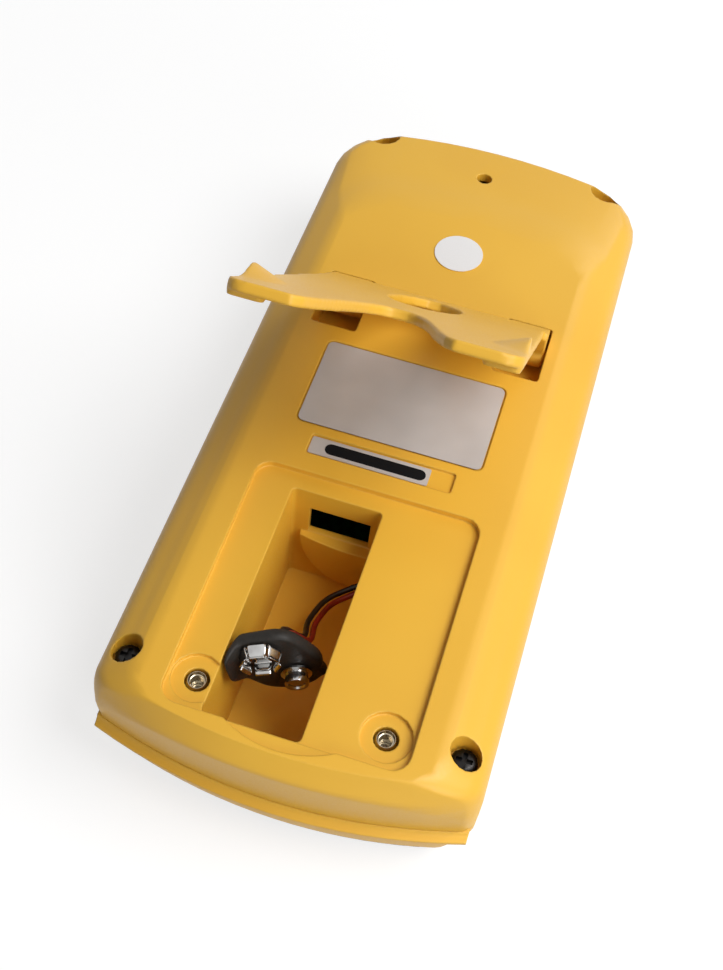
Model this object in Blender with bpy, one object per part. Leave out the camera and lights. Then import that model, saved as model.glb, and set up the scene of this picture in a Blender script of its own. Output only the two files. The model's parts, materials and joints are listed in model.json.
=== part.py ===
"""Digital multimeter lying on its face, tilt stand open and battery compartment uncovered.

+Z points out of the meter's back, +Y towards its top end, and Z = 0 is the surface that its face lies on.
"""

import math

import bmesh
import bpy
from mathutils import Matrix, Vector

MM = 0.001

# Case
CASE_LENGTH = 207.5 * MM
CASE_WIDTH = 88.4 * MM
CASE_THICKNESS = 47.0 * MM
REAR_DEPTH = 22.5 * MM
WALL = 2.2 * MM
FIT_GAP = 0.3 * MM
TOP_BOW = 6.8 * MM
BOTTOM_BOW = 7.3 * MM
TOP_CORNER_RADIUS = 14.0 * MM
BOTTOM_CORNER_RADIUS = 3.0 * MM
SHOULDER_DROP = 10.5 * MM
SHOULDER_WIDTH = 11.2 * MM
SHOULDER_LENGTH = 40.5 * MM
CHIN_LEAN = 0.118
NOSE_INSET = 1.4 * MM
NOSE_SLOPE = 0.74
NOSE_FALL = 0.638
LIP_REACH = 2.1 * MM
LIP_HEIGHT = 2.6 * MM
LIP_SIDE_MARGIN = 0.8 * MM
FACE_HEIGHT = 4.0 * MM
FACE_SIDE_INSET = 4.8 * MM
FACE_TOP_INSET = 8.0 * MM
FACE_BOTTOM_INSET = 4.2 * MM

# Front panel
PANEL_THICKNESS = 1.5 * MM
PANEL_MARGIN = 0.8 * MM
RIM_WIDTH = 2.6 * MM

# Case screws and their wells
WELL_DIAMETER = 7.3 * MM
WELL_DEPTH = 8.0 * MM
TOP_WELL_DIAMETER = 9.8 * MM
TOP_WELL_DEPTH = 13.0 * MM
WELL_WALL = 1.6 * MM
SCREW_SIDE_MARGIN = 6.3 * MM
SCREW_END_MARGIN = 15.1 * MM
TOP_SCREW_SIDE_MARGIN = 10.9 * MM
TOP_SCREW_MARGIN = 11.0 * MM
SCREW_HEAD_DIAMETER = 6.2 * MM
SCREW_HEAD_HEIGHT = 2.0 * MM
SCREW_DIAMETER = 2.9 * MM
SCREW_LENGTH = 19.5 * MM
SCREW_CLEARANCE = 0.3 * MM
CROSS_REACH = 0.3
CROSS_WIDTH = 0.17
CROSS_DEPTH = 0.6
HANGING_HOLE_DIAMETER = 4.4 * MM
HANGING_HOLE_X = -1.0 * MM
HANGING_HOLE_MARGIN = 19.9 * MM

# Battery door seat, threaded inserts and battery pocket
DOOR_WIDTH = 54.6 * MM
DOOR_LENGTH = 65.0 * MM
DOOR_SEAT_DEPTH = 1.6 * MM
DOOR_CORNER_RADIUS = 4.0 * MM
DOOR_BACKING = 1.6 * MM
DOOR_END_MARGIN = 5.6 * MM
SCOOP_RADIUS = 24.0 * MM
SCOOP_REACH = 3.4 * MM
SCOOP_DEPTH = 1.0 * MM
INSERT_SPACING = 42.1 * MM
INSERT_END_MARGIN = 7.45 * MM
INSERT_DIAMETER = 5.0 * MM
INSERT_BORE = 3.3 * MM
INSERT_LENGTH = 5.5 * MM
INSERT_SEAT_DIAMETER = 11.6 * MM
INSERT_SEAT_DEPTH = 1.0 * MM
INSERT_WALL = 1.8 * MM
POCKET_WIDTH = 22.1 * MM
POCKET_LENGTH = 60.4 * MM
POCKET_DEPTH = 33.0 * MM
POCKET_X = -6.6 * MM
POCKET_END_STRIP = 0.3 * MM
POCKET_DRAFT = 0.55 * MM
POCKET_LEAN = 3.0 * MM
POCKET_END_LEAN = 4.6 * MM
POCKET_WALL = 1.5 * MM
POCKET_CORNER_RADIUS = 1.2 * MM
SLOT_WIDTH = 15.0 * MM
SLOT_HEIGHT = 8.8 * MM
SLOT_DROP = 7.5 * MM
SLOT_X = -5.5 * MM
BOSS_RADIUS = 16.6 * MM
BOSS_STEP = 1.5 * MM
BOSS_REACH = 3.0 * MM
BOSS_X = 1.2 * MM
LEAD_HOLE = 5.0 * MM
LEAD_HOLE_SETBACK = 7.2 * MM
LEAD_HOLE_DROP = 24.2 * MM

# Labels on the back
LABEL_WIDTH = 46.0 * MM
LABEL_HEIGHT = 26.1 * MM
LABEL_CORNER_RADIUS = 1.5 * MM
LABEL_THICKNESS = 0.2 * MM
LABEL_MARGIN = 0.4 * MM
SERIAL_SEAT_WIDTH = 35.8 * MM
SERIAL_SEAT_HEIGHT = 5.9 * MM
SERIAL_SEAT_DEPTH = 0.7 * MM
SERIAL_LABEL_WIDTH = 29.6 * MM
SERIAL_LABEL_HEIGHT = 5.0 * MM
SERIAL_GAP = 5.2 * MM
LABEL_GAP = 2.9 * MM
STICKER_DIAMETER = 13.0 * MM
STICKER_GAP = 17.5 * MM
FILM_GAP = 0.1 * MM

# Tilt stand and its hinge pockets
STAND_OPEN_ANGLE = math.radians(44.3)
STAND_LENGTH = 111.0 * MM
STAND_SIDE_MARGIN = 16.2 * MM
STAND_THICKNESS = 2.3 * MM
STAND_PAD = 1.0 * MM
STAND_PAD_WIDTH = 7.0 * MM
STAND_PAD_LENGTH = 3.5 * MM
STAND_CORNER_RADIUS = 4.0 * MM
ARCH_WIDTH = 30.0 * MM
ARCH_DEPTH = 37.0 * MM
ARCH_POWER = 1.6
FINGER_HOLE_WIDTH = 17.0 * MM
FINGER_HOLE_LENGTH = 40.0 * MM
FINGER_HOLE_REACH = 32.0 * MM
GRIP_RADIUS = 9.0 * MM
GRIP_HEIGHT = 2.8 * MM
GRIP_WIDTH = 8.0 * MM
GRIP_MARGIN = 18.0 * MM
HINGE_DEPTH = 3.5 * MM
HINGE_POCKET_GAP = 5.05 * MM
HINGE_POCKET_WIDTH = 12.0 * MM
HINGE_POCKET_LENGTH = 18.3 * MM
HINGE_POCKET_DEPTH = 8.5 * MM
HINGE_SIDE_MARGIN = 20.3 * MM
HINGE_POCKET_WALL = 2.0 * MM
HINGE_SIDE_GAP = 0.6 * MM
HINGE_SETBACK = 6.7 * MM
HEEL_LENGTH = 2.3 * MM
KNUCKLE_RADIUS = 3.0 * MM
PIN_DIAMETER = 3.0 * MM
PIN_LENGTH = 2.0 * MM
PIN_CLEARANCE = 0.3 * MM

# Board, display, selector, buttons and sockets
BOARD_SIDE_MARGIN = 7.2 * MM
BOARD_LENGTH = 152.0 * MM
BOARD_THICKNESS = 1.6 * MM
BOARD_HEIGHT = 10.0 * MM
BOARD_Y = 1.0 * MM
BOARD_POST_DIAMETER = 6.0 * MM
BOARD_SCREW_DIAMETER = 2.0 * MM
BOARD_SCREW_HEAD = 4.0 * MM
BOARD_SCREW_HEAD_HEIGHT = 1.5 * MM
BOARD_SCREW_LENGTH = 4.5 * MM
BOARD_SCREW_MARGIN = 3.4 * MM
DISPLAY_Y = 56.0 * MM
DISPLAY_SIDE_MARGIN = 17.2 * MM
DISPLAY_HEIGHT = 34.0 * MM
WINDOW_OVERLAP = 1.6 * MM
WINDOW_THICKNESS = 1.2 * MM
LCD_THICKNESS = 1.8 * MM
LCD_FRAME_WALL = 2.6 * MM
ZEBRA_WIDTH = 2.2 * MM
KNOB_Y = -17.0 * MM
KNOB_DIAMETER = 44.0 * MM
KNOB_GRIP_WIDTH = 9.0 * MM
KNOB_GRIP_HEIGHT = 2.2 * MM
KNOB_CLEARANCE = 0.4 * MM
FACE_RECESS = 0.5 * MM
WIPER_DISC_DIAMETER = 48.0 * MM
WIPER_DISC_THICKNESS = 2.2 * MM
WIPER_THICKNESS = 0.4 * MM
WIPER_HUB = 7.0 * MM
WIPER_REACH = 10.0 * MM
DETENT_BALL_DIAMETER = 1.6 * MM
DETENT_SPRING_LENGTH = 4.0 * MM
DETENT_RING_WALL = 1.6 * MM
DETENT_CLEARANCE = 0.35 * MM
BUTTON_Y = 25.0 * MM
BUTTON_PITCH = 0.25
BUTTON_WIDTH = 12.0 * MM
BUTTON_HEIGHT = 6.0 * MM
BUTTON_FLANGE = 1.0 * MM
BUTTON_FLANGE_THICKNESS = 0.8 * MM
BUTTON_TRAVEL = 0.6 * MM
SWITCH_SIZE = 6.0 * MM
JACK_Y = -64.0 * MM
JACK_COUNT = 4
JACK_SIDE_MARGIN = 17.2 * MM
JACK_DIAMETER = 11.4 * MM
JACK_SHROUD_BORE = 8.6 * MM
JACK_CONTACT_DIAMETER = 5.2 * MM
JACK_CONTACT_BORE = 4.1 * MM
JACK_CONTACT_RECESS = 5.0 * MM
SOCKET_FLANGE = 1.5 * MM

# Parts on the back of the board
FUSE_DIAMETER = 6.3 * MM
FUSE_LENGTH = 32.0 * MM
FUSE_CAP_LENGTH = 6.0 * MM
FUSE_MARGIN = 10.0 * MM
FUSE_Y = -53.0 * MM
FUSE_LIFT = 3.0 * MM
SMALL_FUSE_DIAMETER = 5.0 * MM
SMALL_FUSE_LENGTH = 20.0 * MM
SMALL_FUSE_MARGIN = 22.0 * MM
CLIP_THICKNESS = 0.5 * MM
CLIP_LENGTH = 5.0 * MM
BUZZER_DIAMETER = 20.0 * MM
BUZZER_HEIGHT = 5.0 * MM
BUZZER_MARGIN = 15.0 * MM
BUZZER_Y = 48.0 * MM
CHIP_SIZE = 14.0 * MM
CHIP_HEIGHT = 2.2 * MM
CHIP_X = 8.0 * MM
CHIP_Y = 30.0 * MM
SHUNT_DIAMETER = 1.6 * MM
SHUNT_SPAN = 14.0 * MM
SHUNT_RISE = 6.0 * MM
SHUNT_MARGIN = 10.0 * MM
SHUNT_Y = -18.0 * MM

# Battery snap and its leads
SNAP_LENGTH = 20.0 * MM
SNAP_WIDTH = 15.6 * MM
SNAP_SKEW = math.radians(35.0)
SNAP_THICKNESS = 3.5 * MM
SNAP_SPACING = 12.7 * MM
SNAP_SIDE_OFFSET = 1.05 * MM
SNAP_SETBACK = 21.3 * MM
SNAP_DROP = 8.4 * MM
SNAP_ALONG = Vector((0.616, 0.229, -0.784)).normalized()
SNAP_FACING = Vector((0.36, -0.93, -0.01))
STUD_DIAMETER = 5.7 * MM
STUD_HEIGHT = 3.2 * MM
CLIP_ACROSS = 9.0 * MM
CLIP_BORE = 6.2 * MM
CLIP_HEIGHT = 3.4 * MM
LEAD_DIAMETER = 1.4 * MM
LEAD_SPACING = 1.8 * MM
LEAD_FOOT_OFFSET = 6.0 * MM
LEAD_FOOT_RISE = 5.0 * MM
LEAD_TAIL_X = 3.2 * MM
LEAD_TAIL_LENGTH = 5.0 * MM
# Middle line of the leads in the pocket: distance from its right wall, from its top wall and from its floor
LEAD_ROUTE = [
    (4.95 * MM, 10.6 * MM, 8.0 * MM),
    (8.15 * MM, 14.6 * MM, 8.2 * MM),
    (9.65 * MM, 21.4 * MM, 10.0 * MM),
    (8.95 * MM, 28.0 * MM, 14.0 * MM),
]

# Fineness of round forms
CORNER_STEPS = 5
SMALL_CORNER_STEPS = 4
END_STEPS = 16
TOP_STEPS = 8
HOLE_SIDES = 16
PILOT_SIDES = 8
DISC_SIDES = 36
SCREW_SIDES = 10
SMOOTH_ANGLE = math.radians(35.0)

# Places worked out from the driving dimensions
HALF_WIDTH = CASE_WIDTH / 2
TOP_Y = CASE_LENGTH / 2
LIP_Y = -CASE_LENGTH / 2
REAR_END_Y = LIP_Y + LIP_REACH
BACK_Z = CASE_THICKNESS
SPLIT_Z = BACK_Z - REAR_DEPTH
FRONT_RIM_Z = SPLIT_Z - FIT_GAP
INNER_FACE_Z = FACE_HEIGHT + WALL
DOOR_BOTTOM_Y = REAR_END_Y + DOOR_END_MARGIN
DOOR_TOP_Y = DOOR_BOTTOM_Y + DOOR_LENGTH
SEAT_Z = BACK_Z - DOOR_SEAT_DEPTH
POCKET_BOTTOM_Y = DOOR_BOTTOM_Y + POCKET_END_STRIP
POCKET_TOP_Y = POCKET_BOTTOM_Y + POCKET_LENGTH
POCKET_LEFT = POCKET_X - POCKET_WIDTH / 2
POCKET_RIGHT = POCKET_X + POCKET_WIDTH / 2
POCKET_FLOOR_Z = BACK_Z - POCKET_DEPTH
INSERT_Y = DOOR_BOTTOM_Y + INSERT_END_MARGIN
INSERT_TOP_Z = SEAT_Z - INSERT_SEAT_DEPTH
SERIAL_Y = DOOR_TOP_Y + SERIAL_GAP + SERIAL_SEAT_HEIGHT / 2
LABEL_Y = SERIAL_Y + SERIAL_SEAT_HEIGHT / 2 + LABEL_GAP + LABEL_HEIGHT / 2
POCKETS_LOW_Y = LABEL_Y + LABEL_HEIGHT / 2 + HINGE_POCKET_GAP
POCKETS_HIGH_Y = POCKETS_LOW_Y + HINGE_POCKET_LENGTH
STICKER_Y = POCKETS_HIGH_Y + STICKER_GAP
STAND_AXIS_Y = POCKETS_HIGH_Y - HINGE_SETBACK
STAND_AXIS_Z = BACK_Z - HINGE_DEPTH
STAND_WIDTH = CASE_WIDTH - 2 * STAND_SIDE_MARGIN
HINGE_POCKET_SPACING = CASE_WIDTH - 2 * HINGE_SIDE_MARGIN
SCREW_X = HALF_WIDTH - SCREW_SIDE_MARGIN
SCREW_Y = REAR_END_Y + SCREW_END_MARGIN
TOP_SCREW_X = HALF_WIDTH - TOP_SCREW_SIDE_MARGIN
TOP_SCREW_Y = TOP_Y - TOP_SCREW_MARGIN
WELL_FLOOR_Z = BACK_Z - WELL_DEPTH
TOP_WELL_FLOOR_Z = BACK_Z - TOP_WELL_DEPTH
BOARD_WIDTH = CASE_WIDTH - 2 * BOARD_SIDE_MARGIN
BOARD_BACK_Z = BOARD_HEIGHT + BOARD_THICKNESS
DISPLAY_WIDTH = CASE_WIDTH - 2 * DISPLAY_SIDE_MARGIN
BUTTON_SPACING = BUTTON_PITCH * CASE_WIDTH
JACK_SPACING = (CASE_WIDTH - 2 * JACK_SIDE_MARGIN) / (JACK_COUNT - 1)
FUSE_X = BOARD_WIDTH / 2 - FUSE_MARGIN
SMALL_FUSE_X = BOARD_WIDTH / 2 - SMALL_FUSE_MARGIN
BUZZER_X = BUZZER_MARGIN - BOARD_WIDTH / 2
SHUNT_X = BOARD_WIDTH / 2 - SHUNT_MARGIN
SNAP_CENTRE = Vector((POCKET_X - SNAP_SIDE_OFFSET, POCKET_BOTTOM_Y + SNAP_SETBACK, BACK_Z - SNAP_DROP))
PANEL_BACK_Z = FACE_HEIGHT - FIT_GAP
PANEL_FACE_Z = PANEL_BACK_Z - PANEL_THICKNESS
SCREW_PLACES = [
    (-SCREW_X, SCREW_Y, WELL_FLOOR_Z, WELL_DIAMETER),
    (SCREW_X, SCREW_Y, WELL_FLOOR_Z, WELL_DIAMETER),
    (-TOP_SCREW_X, TOP_SCREW_Y, TOP_WELL_FLOOR_Z, TOP_WELL_DIAMETER),
    (TOP_SCREW_X, TOP_SCREW_Y, TOP_WELL_FLOOR_Z, TOP_WELL_DIAMETER),
]
BOARD_SCREW_X = BOARD_WIDTH / 2 - BOARD_SCREW_MARGIN
BOARD_SCREW_PLACES = [
    (-BOARD_SCREW_X, BOARD_Y + BOARD_LENGTH / 2 - BOARD_SCREW_MARGIN),
    (BOARD_SCREW_X, BOARD_Y + BOARD_LENGTH / 2 - BOARD_SCREW_MARGIN),
    (-BOARD_SCREW_X, JACK_Y + JACK_SPACING),
    (BOARD_SCREW_X, JACK_Y + JACK_SPACING),
]
JACK_PLACES = [((i - (JACK_COUNT - 1) / 2) * JACK_SPACING, JACK_Y) for i in range(JACK_COUNT)]
BUTTON_NAMES = ["button_hold", "button_range", "button_light"]

# Wall of the rear cover below its shoulder: shares of the height from shoulder to split
REAR_WALL_SHARES = [1.0, 0.68, 0.4, 0.18]
# Shoulder of the rear cover: shares of its drop, of its width at the sides and of its length at the top end
SHOULDER_SHARES = [
    (1.0, 0.009, 0.015),
    (0.857, 0.031, 0.049),
    (0.686, 0.063, 0.091),
    (0.571, 0.12, 0.121),
    (0.476, 0.18, 0.148),
    (0.4, 0.268, 0.17),
    (0.333, 0.357, 0.2),
    (0.238, 0.518, 0.58),
    (0.124, 0.688, 0.753),
    (0.038, 0.848, 0.877),
    (0.0, 1.0, 1.0),
]
# Hollow behind that shoulder: shares of its drop, of its width at the sides, of its length at the top end and of
# its width at the bottom end
HOLLOW_SHARES = [
    (1.05, 0.0, 0.042, 0.0),
    (0.62, 0.196, 0.15, 0.107),
    (0.476, 0.536, 0.58, 0.232),
    (0.23, 1.07, 1.0, 0.446),
]
# Front cover: shares of the face's height above itself and of the face's insets
FRONT_SHARES = [(0.0, 1.0), (0.15, 0.8), (0.75, 0.6)]
# Lip: shares of its height and of its reach
LIP_SHARES = [(0.0, 0.9), (0.1, 1.0), (0.4, 1.0), (0.52, 0.56), (0.72, 0.24), (0.98, 0.08)]


def clear_scene():
    for obj in list(bpy.data.objects):
        bpy.data.objects.remove(obj, do_unlink=True)


def finish(name, colour, roughness, metallic=0.0):
    """A plain Principled material."""
    material = bpy.data.materials.new(name)
    material.use_nodes = True
    shader = material.node_tree.nodes["Principled BSDF"]
    shader.inputs["Base Color"].default_value = (*colour, 1.0)
    shader.inputs["Roughness"].default_value = roughness
    shader.inputs["Metallic"].default_value = metallic
    return material


def add_object(name, bm, material=None):
    """Closes a bmesh into a named object; with no material it is a cutter."""
    bmesh.ops.recalc_face_normals(bm, faces=bm.faces[:])
    mesh = bpy.data.meshes.new(name)
    bm.to_mesh(mesh)
    bm.free()
    obj = bpy.data.objects.new(name, mesh)
    bpy.context.scene.collection.objects.link(obj)
    if material is None:
        obj.hide_render = True
        obj.display_type = "WIRE"
        return obj
    mesh.materials.append(material)
    mesh.shade_smooth()
    mesh.set_sharp_from_angle(angle=SMOOTH_ANGLE)
    return obj


def combine(obj, name, bm, operation="DIFFERENCE"):
    """Cuts a bmesh from an object, or joins it on."""
    tool = add_object(name, bm)
    modifier = obj.modifiers.new(name, "BOOLEAN")
    modifier.operation = operation
    modifier.object = tool
    return tool


def loft(bm, rings):
    """A closed skin through rings of equal point count, filled at both ends."""
    loops = [[bm.verts.new(point) for point in ring] for ring in rings]
    count = len(loops[0])
    for low, high in zip(loops, loops[1:]):
        for i in range(count):
            j = (i + 1) % count
            bm.faces.new((low[i], low[j], high[j], high[i]))
    bm.faces.new(list(reversed(loops[0])))
    bm.faces.new(loops[-1])
    return [vert for loop in loops for vert in loop]


def prism(bm, outline, low, high, matrix=None):
    """An outline in X and Y, extruded from low to high, then placed by a matrix."""
    rings = [[(x, y, z) for x, y in outline] for z in (low, high)]
    verts = loft(bm, rings)
    if matrix is not None:
        bmesh.ops.transform(bm, matrix=matrix, verts=verts)
    return verts


def circle(radius, x=0.0, y=0.0, sides=HOLE_SIDES):
    points = []
    for i in range(sides):
        angle = (i + 0.5) * 2 * math.pi / sides
        points.append((x + radius * math.cos(angle), y + radius * math.sin(angle)))
    return points


def rounded_rectangle(width, height, radius, x=0.0, y=0.0, steps=SMALL_CORNER_STEPS):
    points = []
    for corner, (sx, sy) in enumerate(((1, 1), (-1, 1), (-1, -1), (1, -1))):
        cx = x + sx * (width / 2 - radius)
        cy = y + sy * (height / 2 - radius)
        for i in range(steps + 1):
            angle = (corner + i / steps) * math.pi / 2
            points.append((cx + radius * math.cos(angle), cy + radius * math.sin(angle)))
    return points


def cylinder(bm, radius, low, high, x=0.0, y=0.0, sides=HOLE_SIDES):
    return prism(bm, circle(radius, x, y, sides), low, high)


def box(bm, low, high):
    outline = [(low[0], low[1]), (high[0], low[1]), (high[0], high[1]), (low[0], high[1])]
    return prism(bm, outline, low[2], high[2])


def tube(bm, outer, bore, low, high, x=0.0, y=0.0, sides=HOLE_SIDES):
    """A round tube with flat ends, its bore open."""
    turn = 2 * math.pi / sides
    loops = []
    for radius, z in ((outer, low), (outer, high), (bore, high), (bore, low)):
        ring = []
        for i in range(sides):
            ring.append(bm.verts.new((x + radius * math.cos(i * turn), y + radius * math.sin(i * turn), z)))
        loops.append(ring)
    for a, b in zip(loops, loops[1:] + loops[:1]):
        for i in range(sides):
            j = (i + 1) % sides
            bm.faces.new((a[i], a[j], b[j], b[i]))
    return [vert for loop in loops for vert in loop]


def turned(bm, profile, sides=HOLE_SIDES):
    """A solid of revolution about Z; the profile's first and last points close it with flat discs."""
    turn = 2 * math.pi / sides
    rings = []
    for radius, z in profile:
        rings.append([(radius * math.cos(i * turn), radius * math.sin(i * turn), z) for i in range(sides)])
    return loft(bm, rings)


def chin_inset(x, drop):
    """How far the rear cover's bottom end stands back: a wall that leans out, under a nose that slopes down."""
    wall = -CHIN_LEAN * (REAR_DEPTH - drop)
    nose = NOSE_INSET - drop * (NOSE_SLOPE - NOSE_FALL * (x / HALF_WIDTH) ** 2)
    return max(wall, nose)


def case_outline(side_inset, top_inset, bottom_inset, drop=None):
    """The case seen from its back: straight sides, bowed ends, round corners; a drop adds the chin's form there."""
    half = HALF_WIDTH - side_inset
    top_radius = TOP_CORNER_RADIUS - side_inset / 3
    bottom_radius = BOTTOM_CORNER_RADIUS + side_inset / 3

    def bottom(x):
        chin = 0.0 if drop is None else chin_inset(x, drop)
        return REAR_END_Y + bottom_inset + chin + BOTTOM_BOW * (x / HALF_WIDTH) ** 2

    def top(x):
        return TOP_Y - top_inset - TOP_BOW * (x / HALF_WIDTH) ** 2

    points = []
    flat = half - bottom_radius
    for i in range(END_STEPS + 1):
        x = flat * (2 * i / END_STEPS - 1)
        points.append((x, bottom(x)))
    for i in range(1, CORNER_STEPS + 1):
        angle = i / CORNER_STEPS * math.pi / 2
        x = flat + bottom_radius * math.sin(angle)
        points.append((x, bottom(x) + bottom_radius * (1 - math.cos(angle))))
    flat = half - top_radius
    for i in range(CORNER_STEPS + 1):
        angle = i / CORNER_STEPS * math.pi / 2
        x = flat + top_radius * math.cos(angle)
        points.append((x, top(x) - top_radius * (1 - math.sin(angle))))
    for i in range(1, TOP_STEPS):
        x = flat * (1 - 2 * i / TOP_STEPS)
        points.append((x, top(x)))
    for i in range(CORNER_STEPS + 1):
        angle = (1 - i / CORNER_STEPS) * math.pi / 2
        x = -flat - top_radius * math.cos(angle)
        points.append((x, top(x) - top_radius * (1 - math.sin(angle))))
    flat = half - bottom_radius
    for i in range(CORNER_STEPS):
        angle = (1 - i / CORNER_STEPS) * math.pi / 2
        x = -flat - bottom_radius * math.sin(angle)
        points.append((x, bottom(x) + bottom_radius * (1 - math.cos(angle))))
    return points


def even_steps(half):
    """Evenly spaced values from -half to half."""
    return [half * (2 * i / END_STEPS - 1) for i in range(END_STEPS + 1)]


def case_loft(bm, stations):
    """A skin through outlines of the case at given heights and insets."""
    loft(bm, [[(x, y, z) for x, y in case_outline(*insets)] for z, *insets in stations])


def rear_skin(bm):
    """Outside of the rear cover: its wall, then its shoulder up to the flat back."""
    stations = []
    for share in REAR_WALL_SHARES:
        stations.append((SHOULDER_DROP + share * (REAR_DEPTH - SHOULDER_DROP), 0.0, 0.0))
    for drop, side, top in SHOULDER_SHARES:
        stations.append((drop * SHOULDER_DROP, side * SHOULDER_WIDTH, top * SHOULDER_LENGTH))
    rings = []
    for drop, side, top in stations:
        rings.append([(x, y, BACK_Z - drop) for x, y in case_outline(side, top, 0.0, drop)])
    loft(bm, rings)


def rear_hollow(bm):
    stations = [(SPLIT_Z - WALL, WALL, WALL, WALL)]
    for drop, side, top, bottom in HOLLOW_SHARES:
        insets = (side * SHOULDER_WIDTH, top * SHOULDER_LENGTH, bottom * SHOULDER_WIDTH)
        stations.append((BACK_Z - drop * SHOULDER_DROP, *[inset + WALL for inset in insets]))
    case_loft(bm, stations)


def front_stations():
    """Heights and insets of the front cover's outside, from its face to its rim."""
    stations = []
    for rise, share in FRONT_SHARES:
        insets = (FACE_SIDE_INSET, FACE_TOP_INSET, FACE_BOTTOM_INSET)
        stations.append((FACE_HEIGHT * (1 + rise), *[share * inset for inset in insets]))
    stations.append((FRONT_RIM_Z - LIP_HEIGHT, 0.0, 0.0, 0.0))
    stations.append((FRONT_RIM_Z, 0.0, 0.0, 0.0))
    return stations


def pocket_ring(z, grow):
    """The battery pocket at one height: its sides draw in, and its ends lean, towards the floor."""
    share = (SEAT_Z - z) / (SEAT_Z - POCKET_FLOOR_Z)
    left = POCKET_LEFT + POCKET_DRAFT * share - grow
    right = POCKET_RIGHT - POCKET_DRAFT * share + grow
    bottom = POCKET_BOTTOM_Y + POCKET_END_LEAN * share - grow
    top = POCKET_TOP_Y - POCKET_LEAN * share + grow
    outline = rounded_rectangle(
        right - left, top - bottom, POCKET_CORNER_RADIUS + grow, (left + right) / 2, (bottom + top) / 2, 3
    )
    return [(x, y, z) for x, y in outline]


def pocket_well(bm, grow, low, high):
    loft(bm, [pocket_ring(low, grow), pocket_ring(high, grow)])


def hinge_pocket_x(side):
    return side * HINGE_POCKET_SPACING / 2


def hinge_well(bm, side, grow, low, high):
    """The box that one end of the stand's hinge drops into."""
    width = HINGE_POCKET_WIDTH + 2 * grow
    length = HINGE_POCKET_LENGTH + 2 * grow
    middle = (POCKETS_LOW_Y + POCKETS_HIGH_Y) / 2
    prism(bm, rounded_rectangle(width, length, 0.8 * MM + grow, hinge_pocket_x(side), middle, 3), low, high)


def along_x(x, y, z):
    """Turns a prism's Z axis to +X and moves it to a point."""
    return Matrix.Translation((x, y, z)) @ Matrix.Rotation(math.pi / 2, 4, "Y")


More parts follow.
